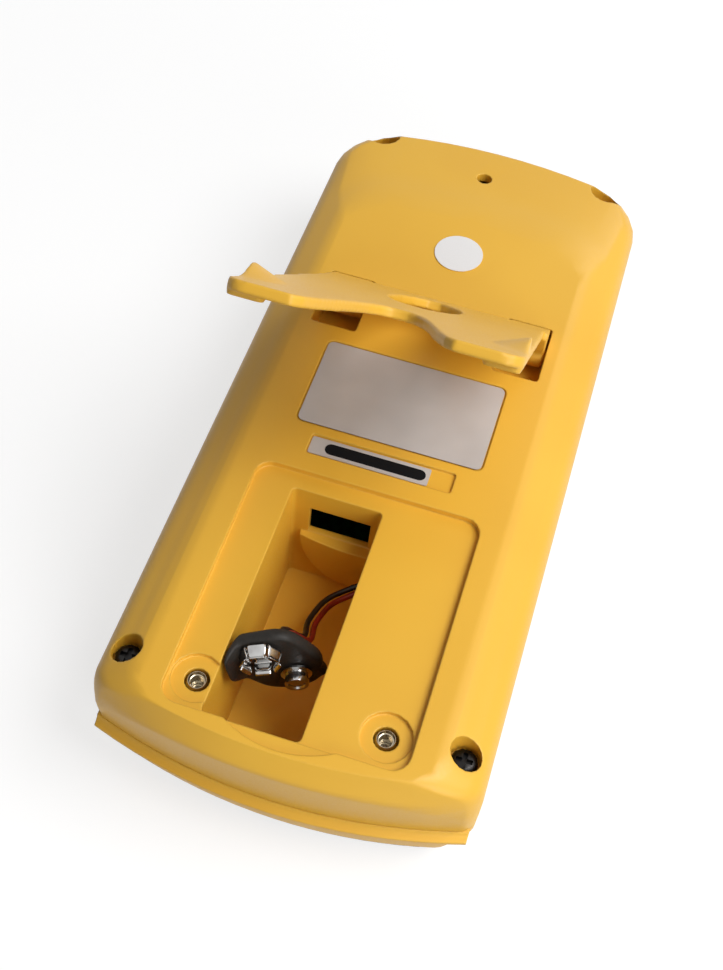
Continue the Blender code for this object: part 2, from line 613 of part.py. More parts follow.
def make_rear_cover(material):
    """Back half of the case, with the battery pocket, hinge pockets and screw wells moulded in."""
    bm = bmesh.new()
    rear_skin(bm)
    cover = add_object("rear_cover", bm, material)

    bm = bmesh.new()
    rear_hollow(bm)
    hollow = combine(cover, "rear_hollow", bm)
    bm = bmesh.new()
    for side in (-1, 1):
        hinge_well(bm, side, HINGE_POCKET_WALL, BACK_Z - HINGE_POCKET_DEPTH - HINGE_POCKET_WALL, BACK_Z)
    for x, y, floor, well in SCREW_PLACES:
        cylinder(bm, well / 2 + WELL_WALL, SPLIT_Z, BACK_Z, x, y)
    for side in (-1, 1):
        radius = INSERT_DIAMETER / 2 + INSERT_WALL
        low = INSERT_TOP_Z - INSERT_LENGTH - INSERT_WALL
        cylinder(bm, radius, low, BACK_Z, side * INSERT_SPACING / 2, INSERT_Y)
    combine(hollow, "kept_in_rear_hollow", bm)
    bm = bmesh.new()
    door_y = (DOOR_BOTTOM_Y + DOOR_TOP_Y) / 2
    backing = rounded_rectangle(
        DOOR_WIDTH + 2 * WALL, DOOR_LENGTH + 2 * WALL, DOOR_CORNER_RADIUS + WALL, 0.0, door_y
    )
    prism(bm, backing, INSERT_TOP_Z - DOOR_BACKING, BACK_Z + WALL)
    combine(hollow, "door_backing", bm)

    bm = bmesh.new()
    pocket_well(bm, POCKET_WALL, POCKET_FLOOR_Z - POCKET_WALL, SEAT_Z - FIT_GAP)
    combine(cover, "pocket_well", bm, "UNION")

    bm = bmesh.new()
    seat = rounded_rectangle(DOOR_WIDTH, DOOR_LENGTH, DOOR_CORNER_RADIUS, 0.0, door_y)
    prism(bm, seat, SEAT_Z, BACK_Z + WALL)
    combine(cover, "door_seat", bm)

    bm = bmesh.new()
    pocket_well(bm, 0.0, POCKET_FLOOR_Z, BACK_Z)
    pocket = combine(cover, "battery_pocket", bm)
    bm = bmesh.new()
    slot_top = BACK_Z - SLOT_DROP
    ledge = slot_top - SLOT_HEIGHT
    lean = math.atan2(POCKET_LEAN, SEAT_Z - POCKET_FLOOR_Z)
    boss_y = POCKET_TOP_Y - (SEAT_Z - ledge) * math.tan(lean)
    profile = [(BOSS_RADIUS, -WALL)]
    for i in range(SMALL_CORNER_STEPS):
        share = 1 - i / SMALL_CORNER_STEPS
        crown = BOSS_STEP + (BOSS_REACH - BOSS_STEP) * (1 - share**2)
        profile.append(((BOSS_RADIUS - BOSS_STEP / 2) * share, crown))
    verts = turned(bm, profile, DISC_SIDES)
    placed = Matrix.Translation((BOSS_X, boss_y, ledge)) @ Matrix.Rotation(math.pi / 2 - lean, 4, "X")
    bmesh.ops.transform(bm, matrix=placed, verts=verts)
    boss = combine(pocket, "end_wall_boss", bm)
    bm = bmesh.new()
    low = (BOSS_X - 2 * BOSS_RADIUS, boss_y - 2 * BOSS_RADIUS, ledge)
    box(bm, low, (BOSS_X + 2 * BOSS_RADIUS, boss_y + 2 * BOSS_RADIUS, BACK_Z))
    combine(boss, "above_boss", bm)

    bm = bmesh.new()
    low = (SLOT_X - SLOT_WIDTH / 2, POCKET_TOP_Y - POCKET_LEAN - WALL, ledge + FIT_GAP)
    high = (SLOT_X + SLOT_WIDTH / 2, POCKET_TOP_Y + 2 * WALL, slot_top)
    box(bm, low, high)
    hole_y = POCKET_TOP_Y - LEAD_HOLE_SETBACK
    hole_z = BACK_Z - LEAD_HOLE_DROP
    low = (POCKET_RIGHT - 2 * WALL, hole_y - LEAD_HOLE / 2, hole_z - LEAD_HOLE / 2)
    high = (POCKET_RIGHT + 2 * WALL, hole_y + LEAD_HOLE / 2, hole_z + LEAD_HOLE / 2)
    box(bm, low, high)
    combine(cover, "pocket_openings", bm)

    bm = bmesh.new()
    for side in (-1, 1):
        hinge_well(bm, side, 0.0, BACK_Z - HINGE_POCKET_DEPTH, BACK_Z + WALL)
    for x, y, floor, well in SCREW_PLACES:
        cylinder(bm, well / 2, floor, BACK_Z + WALL, x, y)
    for side in (-1, 1):
        cylinder(bm, INSERT_SEAT_DIAMETER / 2, INSERT_TOP_Z, BACK_Z, side * INSERT_SPACING / 2, INSERT_Y)
    label_seat = BACK_Z - LABEL_THICKNESS - FIT_GAP
    width = LABEL_WIDTH + 2 * LABEL_MARGIN
    height = LABEL_HEIGHT + 2 * LABEL_MARGIN
    seat = rounded_rectangle(width, height, LABEL_CORNER_RADIUS + LABEL_MARGIN, 0.0, LABEL_Y)
    prism(bm, seat, label_seat, BACK_Z + WALL)
    seat = rounded_rectangle(SERIAL_SEAT_WIDTH, SERIAL_SEAT_HEIGHT, LABEL_CORNER_RADIUS / 2, 0.0, SERIAL_Y)
    prism(bm, seat, BACK_Z - SERIAL_SEAT_DEPTH, BACK_Z + WALL)
    combine(cover, "recesses", bm)

    bm = bmesh.new()
    for x, y, floor, well in SCREW_PLACES:
        cylinder(bm, SCREW_DIAMETER / 2 + SCREW_CLEARANCE, SPLIT_Z - WALL, floor + WALL, x, y, PILOT_SIDES)
    for side in (-1, 1):
        low = INSERT_TOP_Z - INSERT_LENGTH - FIT_GAP
        cylinder(bm, INSERT_DIAMETER / 2 + FIT_GAP, low, SEAT_Z, side * INSERT_SPACING / 2, INSERT_Y)
    hole_y = TOP_Y - HANGING_HOLE_MARGIN
    cylinder(bm, HANGING_HOLE_DIAMETER / 2, BACK_Z - 4 * WALL, BACK_Z, HANGING_HOLE_X, hole_y, SCREW_SIDES)
    for side in (-1, 1):
        radius = PIN_DIAMETER / 2 + PIN_CLEARANCE
        start = hinge_pocket_x(side) + side * (HINGE_POCKET_WIDTH / 2 - WALL / 2)
        end = hinge_pocket_x(side) + side * (HINGE_POCKET_WIDTH / 2 + PIN_LENGTH)
        placed = along_x(min(start, end), STAND_AXIS_Y, STAND_AXIS_Z)
        prism(bm, circle(radius), 0.0, abs(end - start), placed)
    combine(cover, "bores", bm)

    bm = bmesh.new()
    scoop_y = DOOR_BOTTOM_Y - SCOOP_REACH + SCOOP_RADIUS
    cylinder(bm, SCOOP_RADIUS, BACK_Z - SCOOP_DEPTH, BACK_Z + WALL, 0.0, scoop_y, DISC_SIDES * 2)
    scoop = combine(cover, "thumb_scoop", bm)
    bm = bmesh.new()
    low = (-CASE_WIDTH, DOOR_BOTTOM_Y + FIT_GAP, SEAT_Z - WALL)
    box(bm, low, (CASE_WIDTH, TOP_Y, BACK_Z + 2 * WALL))
    combine(scoop, "above_scoop", bm)
    return cover


def make_front_cover(material):
    """Front half of the case: a tray with the lip across its bottom end, screw bosses and board posts."""
    bm = bmesh.new()
    case_loft(bm, front_stations())
    cover = add_object("front_cover", bm, material)

    bm = bmesh.new()
    half = HALF_WIDTH - LIP_SIDE_MARGIN
    ends = [(x, REAR_END_Y + BOTTOM_BOW * (x / HALF_WIDTH) ** 2) for x in even_steps(half)]
    rings = []
    for rise, reach in LIP_SHARES:
        z = FRONT_RIM_Z - LIP_HEIGHT * (1 - rise)
        outer = [(x, y - reach * LIP_REACH, z) for x, y in ends]
        inner = [(x, y + WALL * 2 / 3, z) for x, y in reversed(ends)]
        rings.append(outer + inner)
    loft(bm, rings)
    combine(cover, "lip", bm, "UNION")

    bm = bmesh.new()
    floor_insets = [inset + WALL for inset in (FACE_SIDE_INSET, FACE_TOP_INSET, FACE_BOTTOM_INSET)]
    rim_insets = [WALL, WALL, WALL]
    stations = [(INNER_FACE_Z, *floor_insets), (FRONT_RIM_Z - LIP_HEIGHT, *rim_insets), (SPLIT_Z + WALL, *rim_insets)]
    case_loft(bm, stations)
    hollow = combine(cover, "front_hollow", bm)
    bm = bmesh.new()
    for x, y, floor, well in SCREW_PLACES:
        cylinder(bm, WELL_DIAMETER / 2, 0.0, FRONT_RIM_Z, x, y)
    for x, y in BOARD_SCREW_PLACES:
        cylinder(bm, BOARD_POST_DIAMETER / 2, 0.0, BOARD_HEIGHT - FIT_GAP, x, y, SCREW_SIDES)
    ring = WIPER_DISC_DIAMETER / 2 + DETENT_CLEARANCE
    ring_high = INNER_FACE_Z + FIT_GAP + WIPER_DISC_THICKNESS
    tube(bm, ring + DETENT_RING_WALL, ring, 0.0, ring_high, 0.0, KNOB_Y, DISC_SIDES)
    combine(hollow, "kept_in_front_hollow", bm)

    bm = bmesh.new()
    face_openings(bm, 0.0, INNER_FACE_Z + FIT_GAP / 2)
    combine(cover, "face_openings", bm)

    bm = bmesh.new()
    for x, y, floor, well in SCREW_PLACES:
        low = floor - SCREW_LENGTH - WALL
        cylinder(bm, SCREW_DIAMETER / 2 + SCREW_CLEARANCE, low, FRONT_RIM_Z + WALL, x, y, PILOT_SIDES)
    for x, y in BOARD_SCREW_PLACES:
        low = BOARD_BACK_Z - BOARD_SCREW_LENGTH - FIT_GAP
        cylinder(bm, BOARD_SCREW_DIAMETER / 2 + SCREW_CLEARANCE, low, BOARD_HEIGHT, x, y, PILOT_SIDES)
    combine(cover, "pilot_holes", bm)
    return cover


def face_openings(bm, low, high):
    """The openings that the front cover and the front panel share."""
    prism(bm, rounded_rectangle(DISPLAY_WIDTH, DISPLAY_HEIGHT, 2.0 * MM, 0.0, DISPLAY_Y), low, high)
    cylinder(bm, KNOB_DIAMETER / 2 + KNOB_CLEARANCE, low, high, 0.0, KNOB_Y, DISC_SIDES)
    for i in range(len(BUTTON_NAMES)):
        prism(bm, button_outline(i, FIT_GAP), low, high)
    prism(bm, socket_outline(FIT_GAP), low, high)


def socket_outline(grow):
    """Outline of the bar that carries the input sockets."""
    width = (JACK_COUNT - 1) * JACK_SPACING + JACK_DIAMETER + 2 * grow
    height = JACK_DIAMETER + 2 * grow
    return rounded_rectangle(width, height, 0.45 * height, 0.0, JACK_Y, CORNER_STEPS)


def button_x(i):
    return (i - (len(BUTTON_NAMES) - 1) / 2) * BUTTON_SPACING


def button_outline(i, grow):
    radius = BUTTON_HEIGHT / 2 + grow
    return rounded_rectangle(BUTTON_WIDTH + 2 * grow, 2 * radius, radius, button_x(i), BUTTON_Y)


def make_front_panel(material):
    """Dark face plate with a raised rim, on which the meter lies."""
    inset = [value + PANEL_MARGIN for value in (FACE_SIDE_INSET, FACE_TOP_INSET, FACE_BOTTOM_INSET)]
    outline = case_outline(*inset)
    bm = bmesh.new()
    prism(bm, outline, 0.0, PANEL_BACK_Z)
    panel = add_object("front_panel", bm, material)
    bm = bmesh.new()
    prism(bm, case_outline(*[value + RIM_WIDTH for value in inset]), -WALL, PANEL_FACE_Z)
    combine(panel, "panel_face", bm)
    bm = bmesh.new()
    face_openings(bm, -WALL, FACE_HEIGHT)
    combine(panel, "panel_openings", bm)
    bm = bmesh.new()
    width = DISPLAY_WIDTH + 2 * WINDOW_OVERLAP + 2 * FIT_GAP
    height = DISPLAY_HEIGHT + 2 * WINDOW_OVERLAP + 2 * FIT_GAP
    seat = rounded_rectangle(width, height, 2.0 * MM, 0.0, DISPLAY_Y)
    prism(bm, seat, PANEL_FACE_Z - WALL, PANEL_FACE_Z + WINDOW_THICKNESS / 2)
    combine(panel, "window_rebate", bm)
    return panel


def make_stand(material):
    """Tilt stand: an arched plate on two knuckles, drawn closed about its hinge and turned open."""
    low = HINGE_DEPTH + STAND_PAD + FIT_GAP
    high = low + STAND_THICKNESS
    half = STAND_WIDTH / 2
    start = -0.5 * MM
    end = -STAND_LENGTH
    arch = []
    for x in reversed(even_steps(ARCH_WIDTH / 2)):
        arch.append((x, end + ARCH_DEPTH * (1 - (1 - bell(2 * x / ARCH_WIDTH)) ** ARCH_POWER)))
    corner = []
    for i in range(CORNER_STEPS + 1):
        angle = i / CORNER_STEPS * math.pi / 2
        x = half - STAND_CORNER_RADIUS * (1 - math.cos(angle))
        corner.append((x, end + STAND_CORNER_RADIUS * (1 - math.sin(angle))))
    outline = [(half, start)] + corner + arch
    outline += [(-x, y) for x, y in reversed(corner)] + [(-half, start)]
    bm = bmesh.new()
    prism(bm, outline, low, high)
    stand = add_object("tilt_stand", bm, material)
    stand.location = (0.0, STAND_AXIS_Y, STAND_AXIS_Z)
    stand.rotation_euler = (-STAND_OPEN_ANGLE, 0.0, 0.0)

    bm = bmesh.new()
    ellipse = [
        (x * FINGER_HOLE_WIDTH, -FINGER_HOLE_REACH + y * FINGER_HOLE_LENGTH) for x, y in circle(0.5)
    ]
    prism(bm, ellipse, 0.0, high + STAND_PAD)
    place_on_stand(combine(stand, "finger_hole", bm))

    width = HINGE_POCKET_WIDTH - 2 * HINGE_SIDE_GAP
    knuckle = [(HEEL_LENGTH, high), (HEEL_LENGTH, low)]
    for i in range(HOLE_SIDES // 2 + 1):
        angle = 0.1 * math.pi - i / (HOLE_SIDES // 2) * 1.2 * math.pi
        knuckle.append((KNUCKLE_RADIUS * math.cos(angle), KNUCKLE_RADIUS * math.sin(angle)))
    knuckle += [(-4.0 * KNUCKLE_RADIUS, low), (-4.0 * KNUCKLE_RADIUS, high - FIT_GAP)]
    bm = bmesh.new()
    for side in (-1, 1):
        left = hinge_pocket_x(side) - width / 2
        rings = [[(x, y, z) for y, z in knuckle] for x in (left, left + width)]
        loft(bm, rings)
    place_on_stand(combine(stand, "knuckles", bm, "UNION"))

    bm = bmesh.new()
    for side in (-1, 1):
        outer = hinge_pocket_x(side) + side * width / 2
        tip = outer + side * (HINGE_SIDE_GAP + PIN_LENGTH - FIT_GAP)
        root = outer - side * WALL
        placed = along_x(min(root, tip), 0.0, 0.0)
        prism(bm, circle(PIN_DIAMETER / 2), 0.0, abs(tip - root), placed)
    place_on_stand(combine(stand, "pins", bm, "UNION"))

    bm = bmesh.new()
    grip_y = end + GRIP_MARGIN
    for side in (-1, 1):
        outer = []
        for y in even_steps(GRIP_RADIUS):
            outer.append((side * (half - FIT_GAP), grip_y + y, high + GRIP_HEIGHT * bell(y / GRIP_RADIUS)))
        foot = [(x, y, high - STAND_THICKNESS / 2) for x, y, z in reversed(outer)]
        inner = [(side * (half - GRIP_WIDTH), y, high - FIT_GAP) for x, y, z in outer]
        inner_foot = [(x, y, high - STAND_THICKNESS / 2) for x, y, z in reversed(inner)]
        loft(bm, [outer + foot, inner + inner_foot])
        pad_x = side * (half - STAND_PAD_WIDTH / 2 - FIT_GAP)
        pad = rounded_rectangle(STAND_PAD_WIDTH, STAND_PAD_LENGTH, 1.0 * MM, pad_x, end + STAND_CORNER_RADIUS, 3)
        prism(bm, pad, low - STAND_PAD, low + STAND_THICKNESS / 3)
    place_on_stand(combine(stand, "grips_and_pads", bm, "UNION"))
    return stand


def bell(share):
    """A hump that falls from 1 at its middle to 0 at a share of 1."""
    return (1 + math.cos(math.pi * share)) / 2


def place_on_stand(tool):
    tool.location = (0.0, STAND_AXIS_Y, STAND_AXIS_Z)
    tool.rotation_euler = (-STAND_OPEN_ANGLE, 0.0, 0.0)


def make_labels(silver, white):
    """Blank rating label and serial strip in their seats, and a round sticker on the back."""
    bm = bmesh.new()
    outline = rounded_rectangle(LABEL_WIDTH, LABEL_HEIGHT, LABEL_CORNER_RADIUS, 0.0, LABEL_Y)
    prism(bm, outline, BACK_Z - LABEL_THICKNESS, BACK_Z)
    add_object("rating_label", bm, silver)
    bm = bmesh.new()
    x = (SERIAL_LABEL_WIDTH - SERIAL_SEAT_WIDTH) / 2 + FIT_GAP
    outline = rounded_rectangle(SERIAL_LABEL_WIDTH, SERIAL_LABEL_HEIGHT, LABEL_CORNER_RADIUS / 3, x, SERIAL_Y)
    low = BACK_Z - SERIAL_SEAT_DEPTH + FILM_GAP
    prism(bm, outline, low, low + LABEL_THICKNESS)
    add_object("serial_label", bm, silver)
    bm = bmesh.new()
    low = BACK_Z + FILM_GAP
    cylinder(bm, STICKER_DIAMETER / 2, low, low + LABEL_THICKNESS, 0.0, STICKER_Y, DISC_SIDES)
    add_object("round_sticker", bm, white)


def make_fasteners(black, brass, steel):
    """Threaded inserts for the door, and the screws of the case and the board."""
    for i, side in enumerate((-1, 1), 1):
        bm = bmesh.new()
        tube(bm, INSERT_DIAMETER / 2, INSERT_BORE / 2, -INSERT_LENGTH, 0.0)
        insert = add_object(f"door_insert_{i}", bm, brass)
        insert.location = (side * INSERT_SPACING / 2, INSERT_Y, INSERT_TOP_Z)

    for i, (x, y, floor, well) in enumerate(SCREW_PLACES, 1):
        place = (x, y, floor + FIT_GAP)
        sizes = (SCREW_DIAMETER, SCREW_LENGTH, SCREW_HEAD_DIAMETER, SCREW_HEAD_HEIGHT)
        make_screw(f"case_screw_{i}", sizes, place, black)
    for i, (x, y) in enumerate(BOARD_SCREW_PLACES, 1):
        place = (x, y, BOARD_BACK_Z + FIT_GAP)
        sizes = (BOARD_SCREW_DIAMETER, BOARD_SCREW_LENGTH, BOARD_SCREW_HEAD, BOARD_SCREW_HEAD_HEIGHT)
        make_screw(f"board_screw_{i}", sizes, place, steel)


def make_screw(name, sizes, place, material):
    """A cross-recessed pan-head screw, the underside of its head at a place."""
    diameter, length, head, height = sizes
    profile = [
        (diameter / 4, -length),
        (diameter / 2, diameter / 2 - length),
        (diameter / 2, 0.0),
        (head / 2, 0.0),
        (head / 2, height * 0.55),
        (head * 0.42, height * 0.85),
        (head * 0.28, height),
    ]
    bm = bmesh.new()
    turned(bm, profile, SCREW_SIDES)
    screw = add_object(name, bm, material)
    screw.location = place
    bm = bmesh.new()
    arm = head * CROSS_REACH
    half = head * CROSS_WIDTH / 2
    quarter = [(arm, -half), (arm, half), (half, half)]
    cross = []
    for i in range(4):
        turn = Matrix.Rotation(i * math.pi / 2, 2)
        cross += [tuple(turn @ Vector(point)) for point in quarter]
    prism(bm, cross, height * (1 - CROSS_DEPTH), 2 * height)
    combine(screw, name + "_recess", bm).location = place


def make_board(material):
    """Main circuit board, carried on the front cover's posts."""
    bm = bmesh.new()
    outline = rounded_rectangle(BOARD_WIDTH, BOARD_LENGTH, 3.0 * MM, 0.0, BOARD_Y)
    prism(bm, outline, BOARD_HEIGHT, BOARD_BACK_Z)
    board = add_object("main_board", bm, material)
    bm = bmesh.new()
    for x, y in BOARD_SCREW_PLACES:
        radius = BOARD_SCREW_DIAMETER / 2 + SCREW_CLEARANCE
        cylinder(bm, radius, BOARD_HEIGHT - WALL, BOARD_BACK_Z + WALL, x, y, PILOT_SIDES)
    combine(board, "board_holes", bm)
    return board


def make_display(clear, glass, white, rubber):
    """Display window, liquid-crystal panel, its frame and the contact strip to the board."""
    bm = bmesh.new()
    width = DISPLAY_WIDTH + 2 * WINDOW_OVERLAP
    height = DISPLAY_HEIGHT + 2 * WINDOW_OVERLAP
    low = PANEL_FACE_Z + WINDOW_THICKNESS / 2 - FIT_GAP - WINDOW_THICKNESS
    outline = rounded_rectangle(width, height, 2.0 * MM - FIT_GAP, 0.0, DISPLAY_Y)
    prism(bm, outline, low, low + WINDOW_THICKNESS)
    add_object("display_window", bm, clear)

    frame_low = INNER_FACE_Z + FIT_GAP
    frame_high = BOARD_HEIGHT - FIT_GAP
    bm = bmesh.new()
    outer = rounded_rectangle(
        DISPLAY_WIDTH + 2 * LCD_FRAME_WALL, DISPLAY_HEIGHT + 2 * LCD_FRAME_WALL, 2.0 * MM, 0.0, DISPLAY_Y
    )
    prism(bm, outer, frame_low, frame_high)
    frame = add_object("lcd_frame", bm, white)
    bm = bmesh.new()
    inner = rounded_rectangle(DISPLAY_WIDTH, DISPLAY_HEIGHT, 1.0 * MM, 0.0, DISPLAY_Y)
    prism(bm, inner, frame_low - WALL, frame_high + WALL)
    combine(frame, "lcd_frame_inside", bm)

    bm = bmesh.new()
    width = DISPLAY_WIDTH - 2 * FIT_GAP
    height = DISPLAY_HEIGHT - 2 * FIT_GAP
    outline = rounded_rectangle(width, height, 1.0 * MM, 0.0, DISPLAY_Y)
    prism(bm, outline, frame_low, frame_low + LCD_THICKNESS)
    add_object("lcd_glass", bm, glass)

    bm = bmesh.new()
    strip_y = DISPLAY_Y - height / 2 + ZEBRA_WIDTH
    strip = rounded_rectangle(width - 2 * ZEBRA_WIDTH, ZEBRA_WIDTH, 0.3 * MM, 0.0, strip_y, 2)
    prism(bm, strip, frame_low + LCD_THICKNESS + FIT_GAP, BOARD_HEIGHT - FIT_GAP)
    add_object("zebra_strip", bm, rubber)


def make_selector(dark, white, copper, steel):
    """Rotary selector: knob, wiper disc behind the cover, its contact, and the detent balls with their springs."""
    face = FACE_RECESS
    shoulder = face + KNOB_GRIP_HEIGHT
    back = INNER_FACE_Z
    radius = KNOB_DIAMETER / 2
    bm = bmesh.new()
    turned(bm, [(radius - 1.2 * MM, shoulder), (radius, shoulder + 1.2 * MM), (radius, back)], DISC_SIDES)
    knob = add_object("selector_knob", bm, dark)
    knob.location = (0.0, KNOB_Y, 0.0)
    bm = bmesh.new()
    low = rounded_rectangle(KNOB_DIAMETER - 3.0 * MM, KNOB_GRIP_WIDTH - 2.0 * MM, 3.0 * MM)
    high = rounded_rectangle(KNOB_DIAMETER - 2.0 * MM, KNOB_GRIP_WIDTH, 3.5 * MM)
    loft(bm, [[(x, y, face) for x, y in low], [(x, y, shoulder + WALL) for x, y in high]])
    combine(knob, "knob_grip", bm, "UNION").location = knob.location

    disc_low = back + FIT_GAP
    disc_high = disc_low + WIPER_DISC_THICKNESS
    middle = (disc_low + disc_high) / 2
    disc_radius = WIPER_DISC_DIAMETER / 2
    bm = bmesh.new()
    turned(bm, [(disc_radius, disc_low), (disc_radius, disc_high)], DISC_SIDES)
    disc = add_object("wiper_disc", bm, white)
    disc.location = (0.0, KNOB_Y, 0.0)
    pocket = DETENT_SPRING_LENGTH + DETENT_BALL_DIAMETER + FIT_GAP
    bm = bmesh.new()
    for side in (-1, 1):
        start = side * disc_radius - side * pocket
        end = side * (disc_radius + WALL)
        placed = along_x(min(start, end), 0.0, middle)
        prism(bm, circle(DETENT_BALL_DIAMETER / 2 + FIT_GAP / 2), 0.0, abs(end - start), placed)
    combine(disc, "detent_pockets", bm).location = disc.location

    for i, side in enumerate((-1, 1), 1):
        bm = bmesh.new()
        made = bmesh.ops.create_icosphere(bm, subdivisions=2, radius=DETENT_BALL_DIAMETER / 2)
        x = side * (disc_radius - DETENT_BALL_DIAMETER / 2)
        bmesh.ops.translate(bm, vec=(x, 0.0, middle), verts=made["verts"])
        add_object(f"detent_ball_{i}", bm, steel).location = disc.location
        bm = bmesh.new()
        start = side * (disc_radius - pocket + FIT_GAP / 2)
        end = side * (disc_radius - DETENT_BALL_DIAMETER - FIT_GAP / 2)
        radius = DETENT_BALL_DIAMETER / 2 - FIT_GAP / 2
        verts = tube(bm, radius, DETENT_BALL_DIAMETER / 4, 0.0, abs(end - start), sides=SCREW_SIDES)
        bmesh.ops.transform(bm, matrix=along_x(min(start, end), 0.0, middle), verts=verts)
        add_object(f"detent_spring_{i}", bm, steel).location = disc.location

    bm = bmesh.new()
    low = disc_high + FIT_GAP / 2
    spider = []
    for i in range(DISC_SIDES):
        angle = 2 * math.pi * i / DISC_SIDES
        reach = WIPER_HUB + WIPER_REACH * max(0.0, math.cos(3 * angle)) ** 4
        spider.append((reach * math.cos(angle), reach * math.sin(angle)))
    prism(bm, spider, low, low + WIPER_THICKNESS)
    wiper = add_object("wiper_contact", bm, copper)
    wiper.location = disc.location
    bm = bmesh.new()
    cylinder(bm, WIPER_HUB / 2, low - WALL, low + WALL)
    combine(wiper, "wiper_hub_hole", bm).location = disc.location


def make_buttons(dark, black):
    """Push buttons in the face, held by a flange behind the cover, and the switches that they press."""
    for i, name in enumerate(BUTTON_NAMES):
        bm = bmesh.new()
        flange_low = INNER_FACE_Z + FIT_GAP
        flange_high = flange_low + BUTTON_FLANGE_THICKNESS
        small = [(x, y, FACE_RECESS) for x, y in button_outline(i, -0.6 * MM)]
        full = [(x, y, FACE_RECESS + 0.6 * MM) for x, y in button_outline(i, 0.0)]
        neck = [(x, y, flange_low) for x, y in button_outline(i, 0.0)]
        wide = [(x, y, flange_low) for x, y in button_outline(i, BUTTON_FLANGE)]
        rear = [(x, y, flange_high) for x, y in button_outline(i, BUTTON_FLANGE)]
        loft(bm, [small, full, neck, wide, rear])
        add_object(name, bm, dark)
        bm = bmesh.new()
        x = button_x(i)
        size = SWITCH_SIZE / 2
        low = (x - size, BUTTON_Y - size, flange_high + BUTTON_TRAVEL + FIT_GAP)
        box(bm, low, (x + size, BUTTON_Y + size, BOARD_HEIGHT - FIT_GAP))
        add_object(f"tact_switch_{i + 1}", bm, black)


def make_sockets(black, brass):
    """Input sockets: one insulating bar set in the face, held by its flange, and contact tubes that stand on the board."""
    high = BOARD_HEIGHT - FIT_GAP
    low = INNER_FACE_Z + FIT_GAP
    bm = bmesh.new()
    rings = []
    for z, grow in ((FACE_RECESS, 0.0), (low, 0.0), (low, SOCKET_FLANGE), (high, SOCKET_FLANGE)):
        rings.append([(x, y, z) for x, y in socket_outline(grow)])
    loft(bm, rings)
    block = add_object("socket_block", bm, black)
    bm = bmesh.new()
    for x, y in JACK_PLACES:
        cylinder(bm, JACK_SHROUD_BORE / 2, -WALL, high + WALL, x, y)
    combine(block, "socket_bores", bm)
    for i, (x, y) in enumerate(JACK_PLACES, 1):
        bm = bmesh.new()
        tube(bm, JACK_CONTACT_DIAMETER / 2, JACK_CONTACT_BORE / 2, FACE_RECESS + JACK_CONTACT_RECESS, high)
        add_object(f"socket_contact_{i}", bm, brass).location = (x, y, 0.0)


def along_y(x, y, z):
    """Turns a prism's Z axis to +Y and moves it to a point."""
    return Matrix.Translation((x, y, z)) @ Matrix.Rotation(-math.pi / 2, 4, "X")


def make_fuse(name, diameter, length, x, ceramic, metal):
    """A cartridge fuse with its end caps, in spring clips on the board."""
    radius = diameter / 2
    z = BOARD_BACK_Z + FUSE_LIFT + radius
    start = FUSE_Y - length / 2
    bm = bmesh.new()
    body = length - 2 * FUSE_CAP_LENGTH - 2 * FIT_GAP
    placed = along_y(x, start + FUSE_CAP_LENGTH + FIT_GAP, z)
    prism(bm, circle(radius - 0.2 * MM), 0.0, body, placed)
    add_object(name + "_tube", bm, ceramic)
    for i, cap_y in enumerate((start, start + length - FUSE_CAP_LENGTH), 1):
        bm = bmesh.new()
        prism(bm, circle(radius), 0.0, FUSE_CAP_LENGTH, along_y(x, cap_y, z))
        add_object(f"{name}_cap_{i}", bm, metal)
        bm = bmesh.new()
        fuse_clip(bm, radius, x, cap_y + (FUSE_CAP_LENGTH - CLIP_LENGTH) / 2, z)
        add_object(f"{name}_clip_{i}", bm, metal)


def fuse_clip(bm, radius, x, y, z):
    """A spring clip bent up from one strip, open at its top, standing on the board."""
    inner = radius + FIT_GAP
    outer = inner + CLIP_THICKNESS
    wrap = math.radians(130.0)
    outside = []
    inside = []
    for i in range(HOLE_SIDES // 2 + 1):
        angle = -math.pi / 2 - wrap + 2 * wrap * i / (HOLE_SIDES // 2)
        outside.append((x + outer * math.cos(angle), z + outer * math.sin(angle)))
        inside.append((x + inner * math.cos(angle), z + inner * math.sin(angle)))
    middle = len(outside) // 2
    foot = BOARD_BACK_Z + FIT_GAP
    foot_half = CLIP_THICKNESS
    outline = outside[:middle] + [(x - foot_half, foot), (x + foot_half, foot)] + outside[middle + 1 :]
    outline += list(reversed(inside))
    loft(bm, [[(px, py, pz) for px, pz in outline] for py in (y, y + CLIP_LENGTH)])


def make_board_parts(black, dark, copper):
    """Sounder, measuring chip and current shunt on the back of the board."""
    low = BOARD_BACK_Z + FIT_GAP
    bm = bmesh.new()
    radius = BUZZER_DIAMETER / 2
    profile = [
        (radius, low),
        (radius, low + BUZZER_HEIGHT - 0.5 * MM),
        (radius - 0.5 * MM, low + BUZZER_HEIGHT),
        (1.5 * MM, low + BUZZER_HEIGHT),
        (1.2 * MM, low + BUZZER_HEIGHT - 1.0 * MM),
    ]
    turned(bm, profile)
    add_object("sounder", bm, black).location = (BUZZER_X, BUZZER_Y, 0.0)
    bm = bmesh.new()
    prism(bm, rounded_rectangle(CHIP_SIZE, CHIP_SIZE, 0.8 * MM, CHIP_X, CHIP_Y, 2), low, low + CHIP_HEIGHT)
    add_object("measuring_chip", bm, dark)
    half = SHUNT_SPAN / 2
    points = []
    for i in range(2 * CORNER_STEPS + 1):
        angle = math.pi * (1 - i / (2 * CORNER_STEPS))
        points.append((half * math.cos(angle), 0.0, low + SHUNT_RISE * math.sin(angle)))
    shunt = add_tube("current_shunt", points, SHUNT_DIAMETER, copper)
    shunt.location = (SHUNT_X, SHUNT_Y, 0.0)


